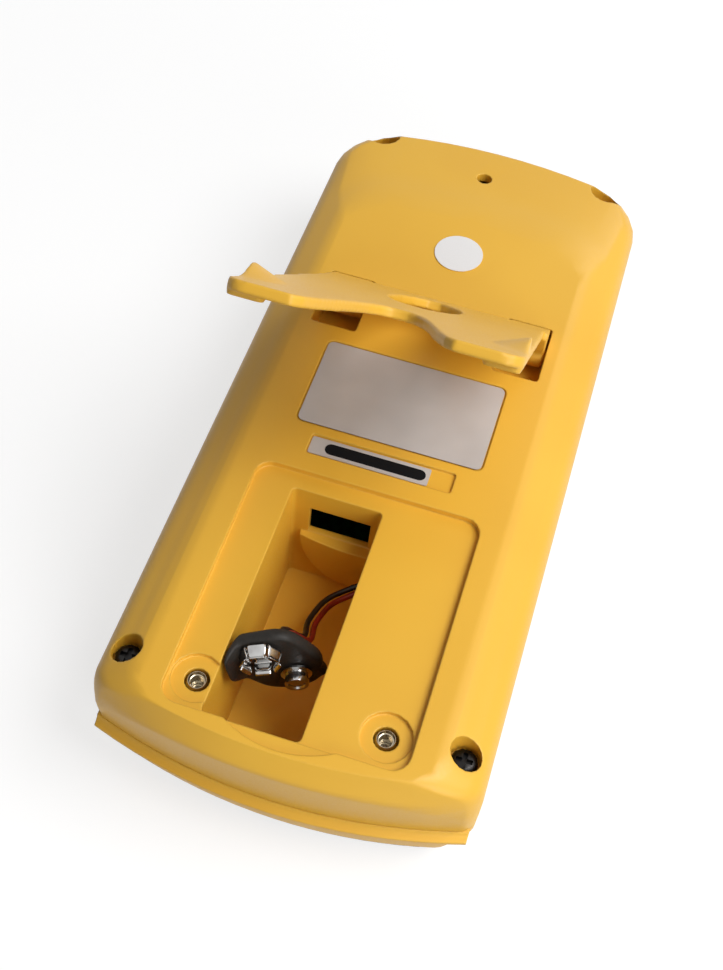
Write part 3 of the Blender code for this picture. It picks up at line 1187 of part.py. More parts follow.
def add_tube(name, points, diameter, material):
    """A round wire along given points, with filled ends."""
    curve = bpy.data.curves.new(name, "CURVE")
    curve.dimensions = "3D"
    curve.bevel_depth = diameter / 2
    curve.bevel_resolution = 2
    curve.use_fill_caps = True
    spline = curve.splines.new("POLY")
    spline.points.add(len(points) - 1)
    for target, point in zip(spline.points, points):
        target.co = (*point, 1.0)
    obj = bpy.data.objects.new(name, curve)
    bpy.context.scene.collection.objects.link(obj)
    curve.materials.append(material)
    return obj


def smooth_route(route, step):
    """Points about a step apart on a Catmull-Rom curve through a route."""
    ends = [2 * route[0] - route[1]] + list(route) + [2 * route[-1] - route[-2]]
    points = [route[0]]
    for a, b, c, d in zip(ends, ends[1:], ends[2:], ends[3:]):
        count = max(1, round((c - b).length / step))
        for i in range(1, count + 1):
            t = i / count
            point = 2 * b + (c - a) * t + (2 * a - 5 * b + 4 * c - d) * t**2 + (3 * b - a - 3 * c + d) * t**3
            points.append(point / 2)
    return points


def snap_matrix():
    """Axes of the battery snap: X along it, Z out of its face."""
    along = SNAP_ALONG
    facing = (SNAP_FACING - along * SNAP_FACING.dot(along)).normalized()
    across = facing.cross(along)
    rotation = Matrix((along, across, facing)).transposed().to_4x4()
    return Matrix.Translation(SNAP_CENTRE) @ rotation


def make_snap(vinyl, chrome, red, black):
    """Battery snap in its soft cap, and the two leads that go through the pocket wall to the board."""
    placed = snap_matrix()
    skew = Matrix.Rotation(SNAP_SKEW, 2)
    rings = []
    for share, z in ((0.86, -0.5), (1.0, -0.2), (1.0, 0.2), (0.9, 0.5)):
        ring = []
        for x, y in circle(share / 2, sides=DISC_SIDES // 2):
            ring.append((*(skew @ Vector((x * SNAP_LENGTH, y * SNAP_WIDTH))), z * SNAP_THICKNESS))
        rings.append(ring)
    bm = bmesh.new()
    loft(bm, rings)
    add_object("snap_cap", bm, vinyl).matrix_world = placed

    base = SNAP_THICKNESS / 2 + FIT_GAP
    bm = bmesh.new()
    radius = STUD_DIAMETER / 2
    profile = [
        (radius * 1.25, base),
        (radius * 1.25, base + 0.5 * MM),
        (radius * 0.93, base + 0.7 * MM),
        (radius * 0.93, base + STUD_HEIGHT * 0.55),
        (radius, base + STUD_HEIGHT * 0.75),
        (radius * 0.94, base + STUD_HEIGHT),
        (radius * 0.7, base + STUD_HEIGHT),
        (radius * 0.6, base + STUD_HEIGHT - 0.4 * MM),
    ]
    turned(bm, profile)
    stud = add_object("snap_stud", bm, chrome)
    stud.matrix_world = placed @ Matrix.Translation((SNAP_SPACING / 2, 0.0, 0.0))

    bm = bmesh.new()
    waist = CLIP_ACROSS * 0.9
    wall = (CLIP_ACROSS - CLIP_BORE) / 4
    stations = [
        (CLIP_ACROSS, base),
        (waist, base + CLIP_HEIGHT * 0.6),
        (CLIP_ACROSS, base + CLIP_HEIGHT),
        (CLIP_ACROSS - wall, base + CLIP_HEIGHT),
        (waist - wall, base + CLIP_HEIGHT * 0.6),
        (CLIP_ACROSS - wall, base + 2 * wall),
    ]
    loft(bm, [[(x, y, z) for x, y in circle(width / 2, sides=6)] for width, z in stations])
    clip = add_object("snap_clip", bm, chrome)
    clip.matrix_world = placed @ Matrix.Translation((-SNAP_SPACING / 2, 0.0, 0.0))

    for name, offset, material in (("lead_black", 0.5, black), ("lead_red", -0.5, red)):
        add_tube(name, lead_points(placed, offset), LEAD_DIAMETER, material)


def lead_points(placed, offset):
    """One lead's middle line, from the board through the pocket wall and up to the back of the cap."""
    wall_y = POCKET_TOP_Y - LEAD_HOLE_SETBACK
    wall_z = BACK_Z - LEAD_HOLE_DROP
    foot_x = POCKET_RIGHT + LEAD_FOOT_OFFSET
    tail = SNAP_THICKNESS / 2 + FIT_GAP
    middle = [
        Vector((foot_x, wall_y, BOARD_BACK_Z + FIT_GAP)),
        Vector((foot_x, wall_y, BOARD_BACK_Z + LEAD_FOOT_RISE)),
        Vector((POCKET_RIGHT + LEAD_FOOT_OFFSET * 2 / 3, wall_y, wall_z - LEAD_DIAMETER)),
        Vector((POCKET_RIGHT, wall_y, wall_z)),
    ]
    for inset, setback, rise in LEAD_ROUTE:
        middle.append(Vector((POCKET_RIGHT - inset, POCKET_TOP_Y - setback, POCKET_FLOOR_Z + rise)))
    middle.append(placed @ Vector((LEAD_TAIL_X, 0.0, -tail - LEAD_TAIL_LENGTH)))
    middle.append(placed @ Vector((LEAD_TAIL_X, 0.0, -tail)))
    route = []
    for i, point in enumerate(middle):
        start = max(i - 1, 0)
        ahead = middle[min(start + 2, len(middle) - 1)] - middle[start]
        beside = Vector((ahead.y, -ahead.x, 0.0)).normalized()
        route.append(point + beside * offset * LEAD_SPACING)
    return smooth_route(route, 2.5 * LEAD_DIAMETER)


def main():
    clear_scene()
    yellow = finish("yellow_plastic", (0.80, 0.46, 0.06), 0.45)
    dark = finish("dark_grey_plastic", (0.06, 0.06, 0.065), 0.5)
    black = finish("black_plastic", (0.02, 0.02, 0.02), 0.45)
    white = finish("white_plastic", (0.8, 0.8, 0.78), 0.5)
    silver = finish("silver_label", (0.62, 0.6, 0.6), 0.35, 0.4)
    paper = finish("white_label", (0.85, 0.85, 0.85), 0.5)
    brass = finish("brass", (0.72, 0.56, 0.3), 0.3, 1.0)
    steel = finish("plain_steel", (0.6, 0.6, 0.6), 0.3, 1.0)
    chrome = finish("bright_nickel", (0.85, 0.85, 0.85), 0.12, 1.0)
    copper = finish("copper_alloy", (0.75, 0.45, 0.25), 0.35, 1.0)
    green = finish("green_laminate", (0.03, 0.2, 0.07), 0.5)
    clear = finish("clear_acrylic", (0.9, 0.92, 0.92), 0.08)
    glass = finish("grey_green_glass", (0.45, 0.5, 0.42), 0.15)
    rubber = finish("grey_silicone", (0.25, 0.25, 0.26), 0.7)
    vinyl = finish("black_vinyl", (0.015, 0.015, 0.017), 0.4)
    red = finish("red_insulation", (0.45, 0.02, 0.02), 0.4)
    ceramic = finish("white_ceramic", (0.85, 0.83, 0.78), 0.4)
    make_rear_cover(yellow)
    make_front_cover(yellow)
    make_front_panel(dark)
    make_stand(yellow)
    make_labels(silver, paper)
    make_fasteners(black, brass, steel)
    make_board(green)
    make_display(clear, glass, white, rubber)
    make_selector(dark, white, copper, steel)
    make_buttons(dark, black)
    make_sockets(black, brass)
    make_fuse("main_fuse", FUSE_DIAMETER, FUSE_LENGTH, FUSE_X, ceramic, chrome)
    make_fuse("small_fuse", SMALL_FUSE_DIAMETER, SMALL_FUSE_LENGTH, SMALL_FUSE_X, ceramic, chrome)
    make_board_parts(black, dark, copper)
    make_snap(vinyl, chrome, red, vinyl)


main()
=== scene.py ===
import json
import math

import bmesh
import bpy
from mathutils import Matrix, Vector


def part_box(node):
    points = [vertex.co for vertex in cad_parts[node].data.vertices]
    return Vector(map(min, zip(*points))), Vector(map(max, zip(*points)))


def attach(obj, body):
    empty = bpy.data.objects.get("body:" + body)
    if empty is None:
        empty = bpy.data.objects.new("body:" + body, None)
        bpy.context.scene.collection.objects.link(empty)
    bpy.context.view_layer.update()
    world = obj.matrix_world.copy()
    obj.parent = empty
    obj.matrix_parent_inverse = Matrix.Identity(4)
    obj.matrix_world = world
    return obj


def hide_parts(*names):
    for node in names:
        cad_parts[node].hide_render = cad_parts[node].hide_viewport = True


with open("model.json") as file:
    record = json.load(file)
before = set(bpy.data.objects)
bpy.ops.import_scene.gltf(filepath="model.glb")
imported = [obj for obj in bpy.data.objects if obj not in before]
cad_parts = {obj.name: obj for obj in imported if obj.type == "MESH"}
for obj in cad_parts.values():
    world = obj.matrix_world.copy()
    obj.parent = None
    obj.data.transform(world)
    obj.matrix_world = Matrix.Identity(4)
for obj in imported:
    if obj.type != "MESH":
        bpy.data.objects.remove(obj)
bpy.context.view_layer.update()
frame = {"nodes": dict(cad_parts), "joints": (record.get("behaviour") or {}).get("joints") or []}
nodes = frame["nodes"]


# Case covers and tilt stand.
# Injection-moulded ABS, dyed amber yellow right through, with a fine spark-eroded grain from the mould.
# The halves are screwed together from the back, and the stand, rounder at its edges, snaps in by stub pins.
YELLOW = (0.79, 0.446, 0.041)
YELLOW_DEEP = (0.755, 0.412, 0.034)
# The lighter edge colour is a painted highlight laid along the case's edges.
YELLOW_EDGE_HIGHLIGHT = (0.82, 0.505, 0.072)
CASE_ROUGHNESS = 0.43
MIX_LOW, MIX_HIGH, MIX_COLOUR = 6, 7, 2  # a Mix node's two colour inputs and its colour output
TONE_SCALE = 22.0
EDGE_RADIUS = 0.0006
EDGE_SAMPLES = 6
EDGE_HIGHLIGHT_MOST = 0.55
EDGE_HIGHLIGHT_TURN = (0.86, 0.99)  # cosines of the edge's turn that gets the most painted highlight, and of the one that gets none
GRAIN_DETAIL = 3.0
GRAIN_STRENGTH = 0.35
GRAIN_RELIEF = 0.00004
SMOOTHER, ROUGHER = 0.05, 0.07
CREASE = math.radians(42.0)
JOIN_DISTANCE = 0.000002
STAND_VOXEL = 0.0004
STAND_ROUNDING = 0.5
STAND_PASSES = 7
STAND_FACES_KEPT = 0.16


def new_finish(name, colour, roughness, metallic=0.0):
    """A Principled material with its own value on each plain socket."""
    material = bpy.data.materials.new(name)
    material.use_nodes = True
    shader = material.node_tree.nodes["Principled BSDF"]
    shader.inputs["Base Color"].default_value = (*colour, 1.0)
    shader.inputs["Roughness"].default_value = roughness
    shader.inputs["Metallic"].default_value = metallic
    return material, shader


def add_node(owner, kind, **inputs):
    """A shader node in a material or a world, with values on its sockets."""
    made = owner.node_tree.nodes.new(kind)
    for socket, value in inputs.items():
        made.inputs[socket.replace("_", " ")].default_value = value
    return made


def link(owner, out, into):
    owner.node_tree.links.new(out, into)


def cloud(material, scale, detail=2.0):
    """Noise over the piece's own coordinates; the scale counts features in a metre."""
    where = add_node(material, "ShaderNodeTexCoord")
    noise = add_node(material, "ShaderNodeTexNoise", Scale=scale, Detail=detail)
    link(material, where.outputs["Object"], noise.inputs["Vector"])
    return noise.outputs["Fac"]


def mixed(material, share, low, high):
    """A colour between two, by a share from 0 to 1."""
    mix = add_node(material, "ShaderNodeMix")
    mix.data_type = "RGBA"
    for socket, value in ((MIX_LOW, low), (MIX_HIGH, high)):
        if isinstance(value, tuple):
            mix.inputs[socket].default_value = (*value, 1.0)
        else:
            link(material, value, mix.inputs[socket])
    link(material, share, mix.inputs[0])
    return mix.outputs[MIX_COLOUR]


def spread(material, value, low, high, from_low=0.35, from_high=0.65):
    """A value mapped from one range to another; the first is that of a noise unless it is given."""
    ranged = add_node(
        material, "ShaderNodeMapRange", From_Min=from_low, From_Max=from_high, To_Min=low, To_Max=high
    )
    link(material, value, ranged.inputs["Value"])
    return ranged.outputs["Result"]


def patches(material, scale):
    """Patches over the piece, as a share from 0 to 1."""
    return spread(material, cloud(material, scale), 0.0, 1.0)


def toned(material, shader, share, low, high):
    """A colour that shifts between two over the surface."""
    link(material, mixed(material, share, low, high), shader.inputs["Base Color"])


def glossed(material, shader, value, low, high):
    """A roughness that shifts between two over the surface."""
    link(material, spread(material, value, low, high), shader.inputs["Roughness"])


def grained(material, shader, height, strength, relief):
    """A fine relief in the surface."""
    bump = add_node(material, "ShaderNodeBump", Strength=strength, Distance=relief)
    link(material, height, bump.inputs["Height"])
    link(material, bump.outputs["Normal"], shader.inputs["Normal"])
    return bump


def moulded(name, colour, deep, edge_highlight, roughness, grain=2600.0):
    """Moulded plastic: slow shifts of tone, a fine grain, and edges rounded, with a painted highlight that
    makes them a little lighter.
    """
    material, shader = new_finish(name, colour, roughness)
    tone = mixed(material, patches(material, TONE_SCALE), deep, colour)
    soft = add_node(material, "ShaderNodeBevel", Radius=EDGE_RADIUS)
    soft.samples = EDGE_SAMPLES
    surface = add_node(material, "ShaderNodeNewGeometry")
    turn = add_node(material, "ShaderNodeVectorMath")
    turn.operation = "DOT_PRODUCT"
    link(material, soft.outputs["Normal"], turn.inputs[0])
    link(material, surface.outputs["Normal"], turn.inputs[1])
    # Painted highlight: where the rounded edge normal turns away from the face, the colour is lightened
    # towards the edge colour.
    wear_and_edge_highlight = spread(material, turn.outputs["Value"], EDGE_HIGHLIGHT_MOST, 0.0, *EDGE_HIGHLIGHT_TURN)
    toned(material, shader, wear_and_edge_highlight, tone, edge_highlight)
    fine = cloud(material, grain, GRAIN_DETAIL)
    glossed(material, shader, fine, roughness - SMOOTHER, roughness + ROUGHER)
    bump = grained(material, shader, fine, GRAIN_STRENGTH, GRAIN_RELIEF)
    link(material, soft.outputs["Normal"], bump.inputs["Normal"])
    return material


def moulded_skin():
    """Joins a node's facets into one skin, shaded with creases only where it turns by more than an angle."""
    group = bpy.data.node_groups.new("moulded_skin", "GeometryNodeTree")
    for way in ("INPUT", "OUTPUT"):
        group.interface.new_socket("Geometry", in_out=way, socket_type="NodeSocketGeometry")
    start = group.nodes.new("NodeGroupInput")
    joined = group.nodes.new("GeometryNodeMergeByDistance")
    joined.inputs["Distance"].default_value = JOIN_DISTANCE
    plain = group.nodes.new("GeometryNodeRemoveAttribute")
    plain.inputs["Name"].default_value = "custom_normal"
    faces = group.nodes.new("GeometryNodeSetShadeSmooth")
    edges = group.nodes.new("GeometryNodeSetShadeSmooth")
    edges.domain = "EDGE"
    end = group.nodes.new("NodeGroupOutput")
    steps = (start, joined, plain, faces, edges, end)
    for before, after in zip(steps, steps[1:]):
        group.links.new(before.outputs[0], after.inputs[0])
    turn = group.nodes.new("GeometryNodeInputMeshEdgeAngle")
    slight = group.nodes.new("FunctionNodeCompare")
    slight.operation = "LESS_THAN"
    slight.inputs["B"].default_value = CREASE
    group.links.new(turn.outputs["Unsigned Angle"], slight.inputs["A"])
    group.links.new(slight.outputs[0], edges.inputs["Shade Smooth"])
    return group


skin = moulded_skin()


def dress(material, *names):
    """Gives nodes their finish, and smooth shading that leaves broad flat faces flat."""
    for name in names:
        nodes[name].material_slots[0].material = material
        nodes[name].modifiers.new("skin", "NODES").node_group = skin
        nodes[name].modifiers.new("flat_faces", "WEIGHTED_NORMAL").keep_sharp = True


amber = moulded("amber_abs", YELLOW, YELLOW_DEEP, YELLOW_EDGE_HIGHLIGHT, CASE_ROUGHNESS)
dress(amber, "rear_cover", "front_cover")

stand = nodes["tilt_stand"]
stand.material_slots[0].material = amber
stand.modifiers.new("skin", "NODES").node_group = skin
even = stand.modifiers.new("even", "REMESH")
even.mode = "VOXEL"
even.voxel_size = STAND_VOXEL
even.use_smooth_shade = True
rounded = stand.modifiers.new("rounded", "SMOOTH")
rounded.factor = STAND_ROUNDING
rounded.iterations = STAND_PASSES
lighter = stand.modifiers.new("lighter", "DECIMATE")
lighter.ratio = STAND_FACES_KEPT
stand.modifiers.new("flat_faces", "WEIGHTED_NORMAL")


# Face of the meter: front panel, selector knob and buttons, with white printed marks and pointer.
# Charcoal ABS, slightly coarser in grain than the case. The panel is pressed into the front cover,
# the knob turns in its round opening and the buttons are held behind by their flanges.
# Each material's third colour is the lighter edge colour of a painted highlight along its edges.
CHARCOAL = (0.045, 0.046, 0.05)
CHARCOAL_DEEP = (0.036, 0.037, 0.041)
CHARCOAL_EDGE_HIGHLIGHT = (0.09, 0.09, 0.095)
KNOB_GREY = (0.13, 0.132, 0.14)
KNOB_DEEP = (0.11, 0.112, 0.12)
KNOB_EDGE_HIGHLIGHT = (0.19, 0.19, 0.2)
KEY_AMBER = (0.62, 0.33, 0.05)
KEY_DEEP = (0.56, 0.29, 0.04)
KEY_EDGE_HIGHLIGHT = (0.7, 0.42, 0.1)
WHITE_INK = (0.72, 0.72, 0.71)
WHITE_INK_WORN = (0.64, 0.64, 0.63)
INK_SHINE = 0.04
INK_COAT_SCALE = 1200.0
PRINT_THICK = 0.00004
PRINT_EDGE = ((0.0, 1.0), (0.75, 1.0), (1.0, 0.95))  # shares of the ink's thickness and of the bar's width
PRINT_END_STEPS = 12
DIAL_LEVEL = 0.0022
TICKS_EACH_WAY = 6
TICK_STEP = math.radians(20.0)
TICK_REACH = (0.0244, 0.0268)
TICK_HALF = 0.0004
POINTER_REACH = (0.010, 0.0185)
POINTER_HALF = 0.0006

charcoal = moulded("charcoal_abs", CHARCOAL, CHARCOAL_DEEP, CHARCOAL_EDGE_HIGHLIGHT, roughness=0.5, grain=1900.0)
dress(charcoal, "front_panel")
knob_grey = moulded("knob_grey_abs", KNOB_GREY, KNOB_DEEP, KNOB_EDGE_HIGHLIGHT, roughness=0.46, grain=2200.0)
dress(knob_grey, "selector_knob")
key_amber = moulded("key_amber_abs", KEY_AMBER, KEY_DEEP, KEY_EDGE_HIGHLIGHT, roughness=0.5)
dress(key_amber, "button_hold", "button_range", "button_light")


def add_piece(name, mesh, material, body, place=None):
    """A finished mesh as a piece that rides on a body."""
    if place is not None:
        bmesh.ops.transform(mesh, matrix=place, verts=mesh.verts)
    bmesh.ops.recalc_face_normals(mesh, faces=mesh.faces)
    data = bpy.data.meshes.new(name)
    mesh.to_mesh(data)
    mesh.free()
    data.polygons.foreach_set("use_smooth", [True] * len(data.polygons))
    data.materials.append(material)
    piece = bpy.data.objects.new(name, data)
    bpy.context.scene.collection.objects.link(piece)
    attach(piece, body)
    return piece


def rings_skin(mesh, rings):
    """Quads between closed rings of points, with the first and last ring filled."""
    loops = [[mesh.verts.new(point) for point in ring] for ring in rings]
    for low, high in zip(loops, loops[1:]):
        for i in range(len(low)):
            j = (i + 1) % len(low)
            mesh.faces.new((low[i], low[j], high[j], high[i]))
    mesh.faces.new(loops[0][::-1])
    mesh.faces.new(loops[-1])


def printed_bar(mesh, start, end, half, level, rise):
    """A flat print with round ends, from one point to another on a level face."""
    heading = math.atan2(end[1] - start[1], end[0] - start[0])
    rings = []
    for lift, share in PRINT_EDGE:
        ring = []
        for middle, first in ((start, heading + math.pi / 2), (end, heading - math.pi / 2)):
            for step in range(PRINT_END_STEPS + 1):
                turn = first + step * math.pi / PRINT_END_STEPS
                round_off = Vector((math.cos(turn), math.sin(turn), 0.0)) * half * share
                ring.append(Vector((middle[0], middle[1], level + lift * rise)) + round_off)
        rings.append(ring)
    rings_skin(mesh, rings)


def print_ink(name, colour, wear_and_edge_highlight):
    """Screen-printed ink: matt, with a faintly uneven coat."""
    ink, shader = new_finish(name, colour, roughness=0.7)
    shader.inputs["Specular IOR Level"].default_value = INK_SHINE
    coat = cloud(ink, INK_COAT_SCALE)
    toned(ink, shader, coat, wear_and_edge_highlight, colour)
    glossed(ink, shader, coat, 0.6, 0.8)
    return ink


white_ink = print_ink("white_ink", WHITE_INK, WHITE_INK_WORN)
selector = next(joint for joint in frame["joints"] if joint["name"] == "selector_turn")
dial_x, dial_y, _ = selector["pos_m"]
dial_mesh = bmesh.new()
for place in range(-TICKS_EACH_WAY, TICKS_EACH_WAY + 1):
    along_x, along_y = math.cos(place * TICK_STEP), math.sin(place * TICK_STEP)
    inner, outer = [(dial_x + reach * along_x, dial_y + reach * along_y) for reach in TICK_REACH]
    printed_bar(dial_mesh, inner, outer, TICK_HALF, DIAL_LEVEL, -PRINT_THICK)
add_piece("dial_marks", dial_mesh, white_ink, "case")
knob_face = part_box("selector_knob")[0].z
inner, outer = [(dial_x + reach, dial_y) for reach in POINTER_REACH]
pointer_mesh = bmesh.new()
printed_bar(pointer_mesh, inner, outer, POINTER_HALF, knob_face, -PRINT_THICK)
add_piece("pointer_mark", pointer_mesh, white_ink, "selector")


# Display: acrylic window, liquid-crystal panel, its white frame and the striped contact strip.
# The window sits in a rebate of the panel, and the frame holds the glass against it from behind.
ACRYLIC = (0.92, 0.95, 0.93)
ACRYLIC_IOR = 1.49
LCD_GREEN = (0.42, 0.47, 0.39)
LCD_DEEP = (0.40, 0.45, 0.37)
LCD_PALE = (0.45, 0.50, 0.42)
WHITE_ABS = (0.78, 0.78, 0.75)
WHITE_ABS_DEEP = (0.74, 0.74, 0.71)
# Lighter edge colour for a painted highlight along the white pieces' edges.
WHITE_ABS_EDGE_HIGHLIGHT = (0.84, 0.84, 0.82)
STRIP_GREY = (0.3, 0.3, 0.31)
STRIP_CARBON = (0.04, 0.04, 0.04)
STRIP_CLEAR = (0.6, 0.6, 0.58)
STRIP_BANDS = 700.0

window, shader = new_finish("clear_acrylic", ACRYLIC, roughness=0.06)
shader.inputs["Transmission Weight"].default_value = 1.0
shader.inputs["IOR"].default_value = ACRYLIC_IOR
glossed(window, shader, cloud(window, 60.0), 0.03, 0.09)
dress(window, "display_window")

liquid, shader = new_finish("liquid_crystal", LCD_GREEN, roughness=0.2)
toned(liquid, shader, patches(liquid, 30.0), LCD_DEEP, LCD_PALE)
dress(liquid, "lcd_glass")

white_abs = moulded("white_abs", WHITE_ABS, WHITE_ABS_DEEP, WHITE_ABS_EDGE_HIGHLIGHT, roughness=0.5)
dress(white_abs, "lcd_frame", "wiper_disc")

striped, shader = new_finish("striped_silicone", STRIP_GREY, roughness=0.7)
bands = add_node(striped, "ShaderNodeTexWave", Scale=STRIP_BANDS)
where = add_node(striped, "ShaderNodeTexCoord")
link(striped, where.outputs["Object"], bands.inputs["Vector"])
toned(striped, shader, bands.outputs["Fac"], STRIP_CARBON, STRIP_CLEAR)
dress(striped, "zebra_strip")


# Sockets and switches behind the face.
# Black glass-filled nylon for the socket block, the key switches and the sounder, and turned brass tubes
# for the contacts, which are soldered to the board.
BLACK_NYLON = (0.022, 0.022, 0.023)
BLACK_NYLON_DEEP = (0.017, 0.017, 0.018)
# Lighter edge colour for a painted highlight along the nylon parts' edges.
BLACK_NYLON_EDGE_HIGHLIGHT = (0.05, 0.05, 0.052)
BRASS = (0.78, 0.60, 0.33)
BRASS_DULL = (0.62, 0.46, 0.23)
STAIN_SCALE = 225.0
TOOL_MARK_SCALE = 2700.0
TOOL_MARK_STRENGTH = 0.15
TOOL_MARK_RELIEF = 0.00002
BRIGHTEST, DULLEST = 0.75, 1.35  # shares of a metal's roughness

black_nylon = moulded("black_nylon", BLACK_NYLON, BLACK_NYLON_DEEP, BLACK_NYLON_EDGE_HIGHLIGHT, roughness=0.48)
dress(black_nylon, "socket_block", "tact_switch_1", "tact_switch_2", "tact_switch_3", "sounder")


def metal(name, colour, dull, roughness):
    """Bare or plated metal with a faint uneven tarnish and fine tool marks."""
    material, shader = new_finish(name, colour, roughness, metallic=1.0)
    toned(material, shader, patches(material, STAIN_SCALE), dull, colour)
    fine = cloud(material, TOOL_MARK_SCALE)
    glossed(material, shader, fine, roughness * BRIGHTEST, roughness * DULLEST)
    grained(material, shader, fine, TOOL_MARK_STRENGTH, TOOL_MARK_RELIEF)
    return material


brass = metal("turned_brass", BRASS, BRASS_DULL, roughness=0.26)
dress(brass, *[f"socket_contact_{i}" for i in (1, 2, 3, 4)])


# Circuit board and what it carries.
# Glass-epoxy laminate under green solder resist, with cartridge fuses in sprung clips, a bent shunt of
# resistance wire, a moulded chip, the selector's sprung contact and small steel screws into the front cover.
RESIST_GREEN = (0.02, 0.14, 0.05)
RESIST_DEEP = (0.015, 0.11, 0.04)
RESIST_PALE = (0.03, 0.19, 0.07)
STEEL = (0.62, 0.62, 0.63)
STEEL_DULL = (0.5, 0.5, 0.51)
NICKEL = (0.86, 0.86, 0.85)
NICKEL_DULL = (0.72, 0.71, 0.69)
CERAMIC = (0.82, 0.80, 0.74)
CERAMIC_DEEP = (0.76, 0.74, 0.68)
# Lighter edge colour for a painted highlight along the fuse tubes' edges.
CERAMIC_EDGE_HIGHLIGHT = (0.86, 0.85, 0.8)
COPPER = (0.78, 0.47, 0.27)
COPPER_DULL = (0.6, 0.34, 0.19)

laminate, shader = new_finish("green_laminate", RESIST_GREEN, roughness=0.35)
toned(laminate, shader, patches(laminate, 500.0), RESIST_DEEP, RESIST_PALE)
grained(laminate, shader, cloud(laminate, 1800.0), strength=0.2, relief=0.00003)
dress(laminate, "main_board")

steel = metal("plain_steel", STEEL, STEEL_DULL, roughness=0.3)
dress(steel, *[f"board_screw_{i}" for i in (1, 2, 3, 4)])
dress(steel, "detent_ball_1", "detent_ball_2", "detent_spring_1", "detent_spring_2")

nickel = metal("bright_nickel", NICKEL, NICKEL_DULL, roughness=0.13)
for fuse in ("main_fuse", "small_fuse"):
    dress(nickel, *[f"{fuse}_{piece}_{i}" for piece in ("cap", "clip") for i in (1, 2)])
ceramic = moulded("fired_ceramic", CERAMIC, CERAMIC_DEEP, CERAMIC_EDGE_HIGHLIGHT, roughness=0.35)
dress(ceramic, "main_fuse_tube", "small_fuse_tube")

copper = metal("spring_copper", COPPER, COPPER_DULL, roughness=0.3)
dress(copper, "wiper_contact", "current_shunt")
dress(charcoal, "measuring_chip")


# Labels on the back.
# Silver-grey polyester film for the rating label and the serial strip, and matt white paper for the round
# sticker. They are stuck in or on the rear cover, and plain but for a black printed bar on the strip.
FILM_SILVER = (0.52, 0.50, 0.49)
FILM_DEEP = (0.49, 0.47, 0.46)
FILM_PALE = (0.56, 0.54, 0.53)
PAPER_WHITE = (0.80, 0.79, 0.79)
PAPER_DEEP = (0.76, 0.75, 0.75)
PAPER_PALE = (0.83, 0.82, 0.82)
BLACK_INK = (0.010, 0.010, 0.011)
BLACK_INK_WORN = (0.007, 0.007, 0.008)
BAR_HALF = 0.31  # shares of the strip's width and length
BAR_FROM = 0.125
BAR_TO = 0.97

film, shader = new_finish("silver_film", FILM_SILVER, roughness=0.42, metallic=0.15)
toned(film, shader, patches(film, 60.0), FILM_DEEP, FILM_PALE)
fine = cloud(film, 4000.0)
glossed(film, shader, fine, 0.38, 0.5)
grained(film, shader, fine, strength=0.12, relief=0.00002)
dress(film, "rating_label", "serial_label")

paper, shader = new_finish("white_paper", PAPER_WHITE, roughness=0.55)
fibre = cloud(paper, 3000.0, detail=4.0)
toned(paper, shader, fibre, PAPER_DEEP, PAPER_PALE)
grained(paper, shader, fibre, strength=0.15, relief=0.00002)
dress(paper, "round_sticker")

strip_low, strip_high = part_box("serial_label")
strip = strip_high - strip_low
bar_half = BAR_HALF * strip.y
bar_y = (strip_low.y + strip_high.y) / 2
bar_start = (strip_low.x + BAR_FROM * strip.x + bar_half, bar_y)
bar_end = (strip_low.x + BAR_TO * strip.x - bar_half, bar_y)
bar_mesh = bmesh.new()
printed_bar(bar_mesh, bar_start, bar_end, bar_half, strip_high.z, PRINT_THICK)
black_ink = print_ink("black_ink", BLACK_INK, BLACK_INK_WORN)
add_piece("ink_bar", bar_mesh, black_ink, "case")


# Fasteners in the back.
# Turned brass inserts, knurled outside and threaded inside below a countersunk mouth, are pressed hot into
# the door's seat. Black-oxide steel screws with crossed recesses hold the two halves together.
FLASHED_BRASS = (0.56, 0.50, 0.39)
FLASHED_BRASS_DULL = (0.38, 0.31, 0.21)
BLACK_OXIDE = (0.035, 0.033, 0.032)
BLACK_OXIDE_DULL = (0.02, 0.02, 0.02)
INSERT_SIDES = 56
INSERT_SHOULDER = 0.0005
INSERT_MOUTH = [(0.0021, -0.0001), (0.00202, 0.0), (0.00192, 0.0), (0.00168, -0.0008)]  # radius, height
INSERT_FLOOR = [(0.0015, 0.0002), (0.0004, 0.0001)]  # radius, height above the insert's lower end
KNURL_CUT = 0.05
KNURL_INNER = 0.00205
THREAD_ROOT = 0.00165
THREAD_CREST = 0.00148
THREAD_TOP = 0.0009
THREAD_HALF_PITCH = 0.00025
THREAD_LINES = 12

insert_brass = metal("flashed_brass", FLASHED_BRASS, FLASHED_BRASS_DULL, roughness=0.2)
for name in ("door_insert_1", "door_insert_2"):
    low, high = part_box(name)
    middle = (low + high) / 2
    radius = (high.x - low.x) / 2
    depth = high.z - low.z
    line = [(radius, -depth), (radius, -INSERT_SHOULDER), *INSERT_MOUTH]
    for step in range(THREAD_LINES):
        reach = THREAD_ROOT if step % 2 else THREAD_CREST
        line.append((reach, -THREAD_TOP - THREAD_HALF_PITCH * step))
    line += [(reach, height - depth) for reach, height in INSERT_FLOOR]
    rings = []
    for reach, height in line:
        ring = []
        for step in range(INSERT_SIDES):
            turn = step * 2 * math.pi / INSERT_SIDES
            in_groove = step % 2 and reach > KNURL_INNER
            across = reach * (1.0 - KNURL_CUT) if in_groove else reach
            x = middle.x + across * math.cos(turn)
            y = middle.y + across * math.sin(turn)
            ring.append(Vector((x, y, high.z + height)))
        rings.append(ring)
    insert_mesh = bmesh.new()
    rings_skin(insert_mesh, rings)
    insert = add_piece(name + "_turned", insert_mesh, insert_brass, "case")
    insert.modifiers.new("skin", "NODES").node_group = skin
    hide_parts(name)
black_oxide = metal("black_oxide", BLACK_OXIDE, BLACK_OXIDE_DULL, roughness=0.38)
dress(black_oxide, *[f"case_screw_{i}" for i in (1, 2, 3, 4)])


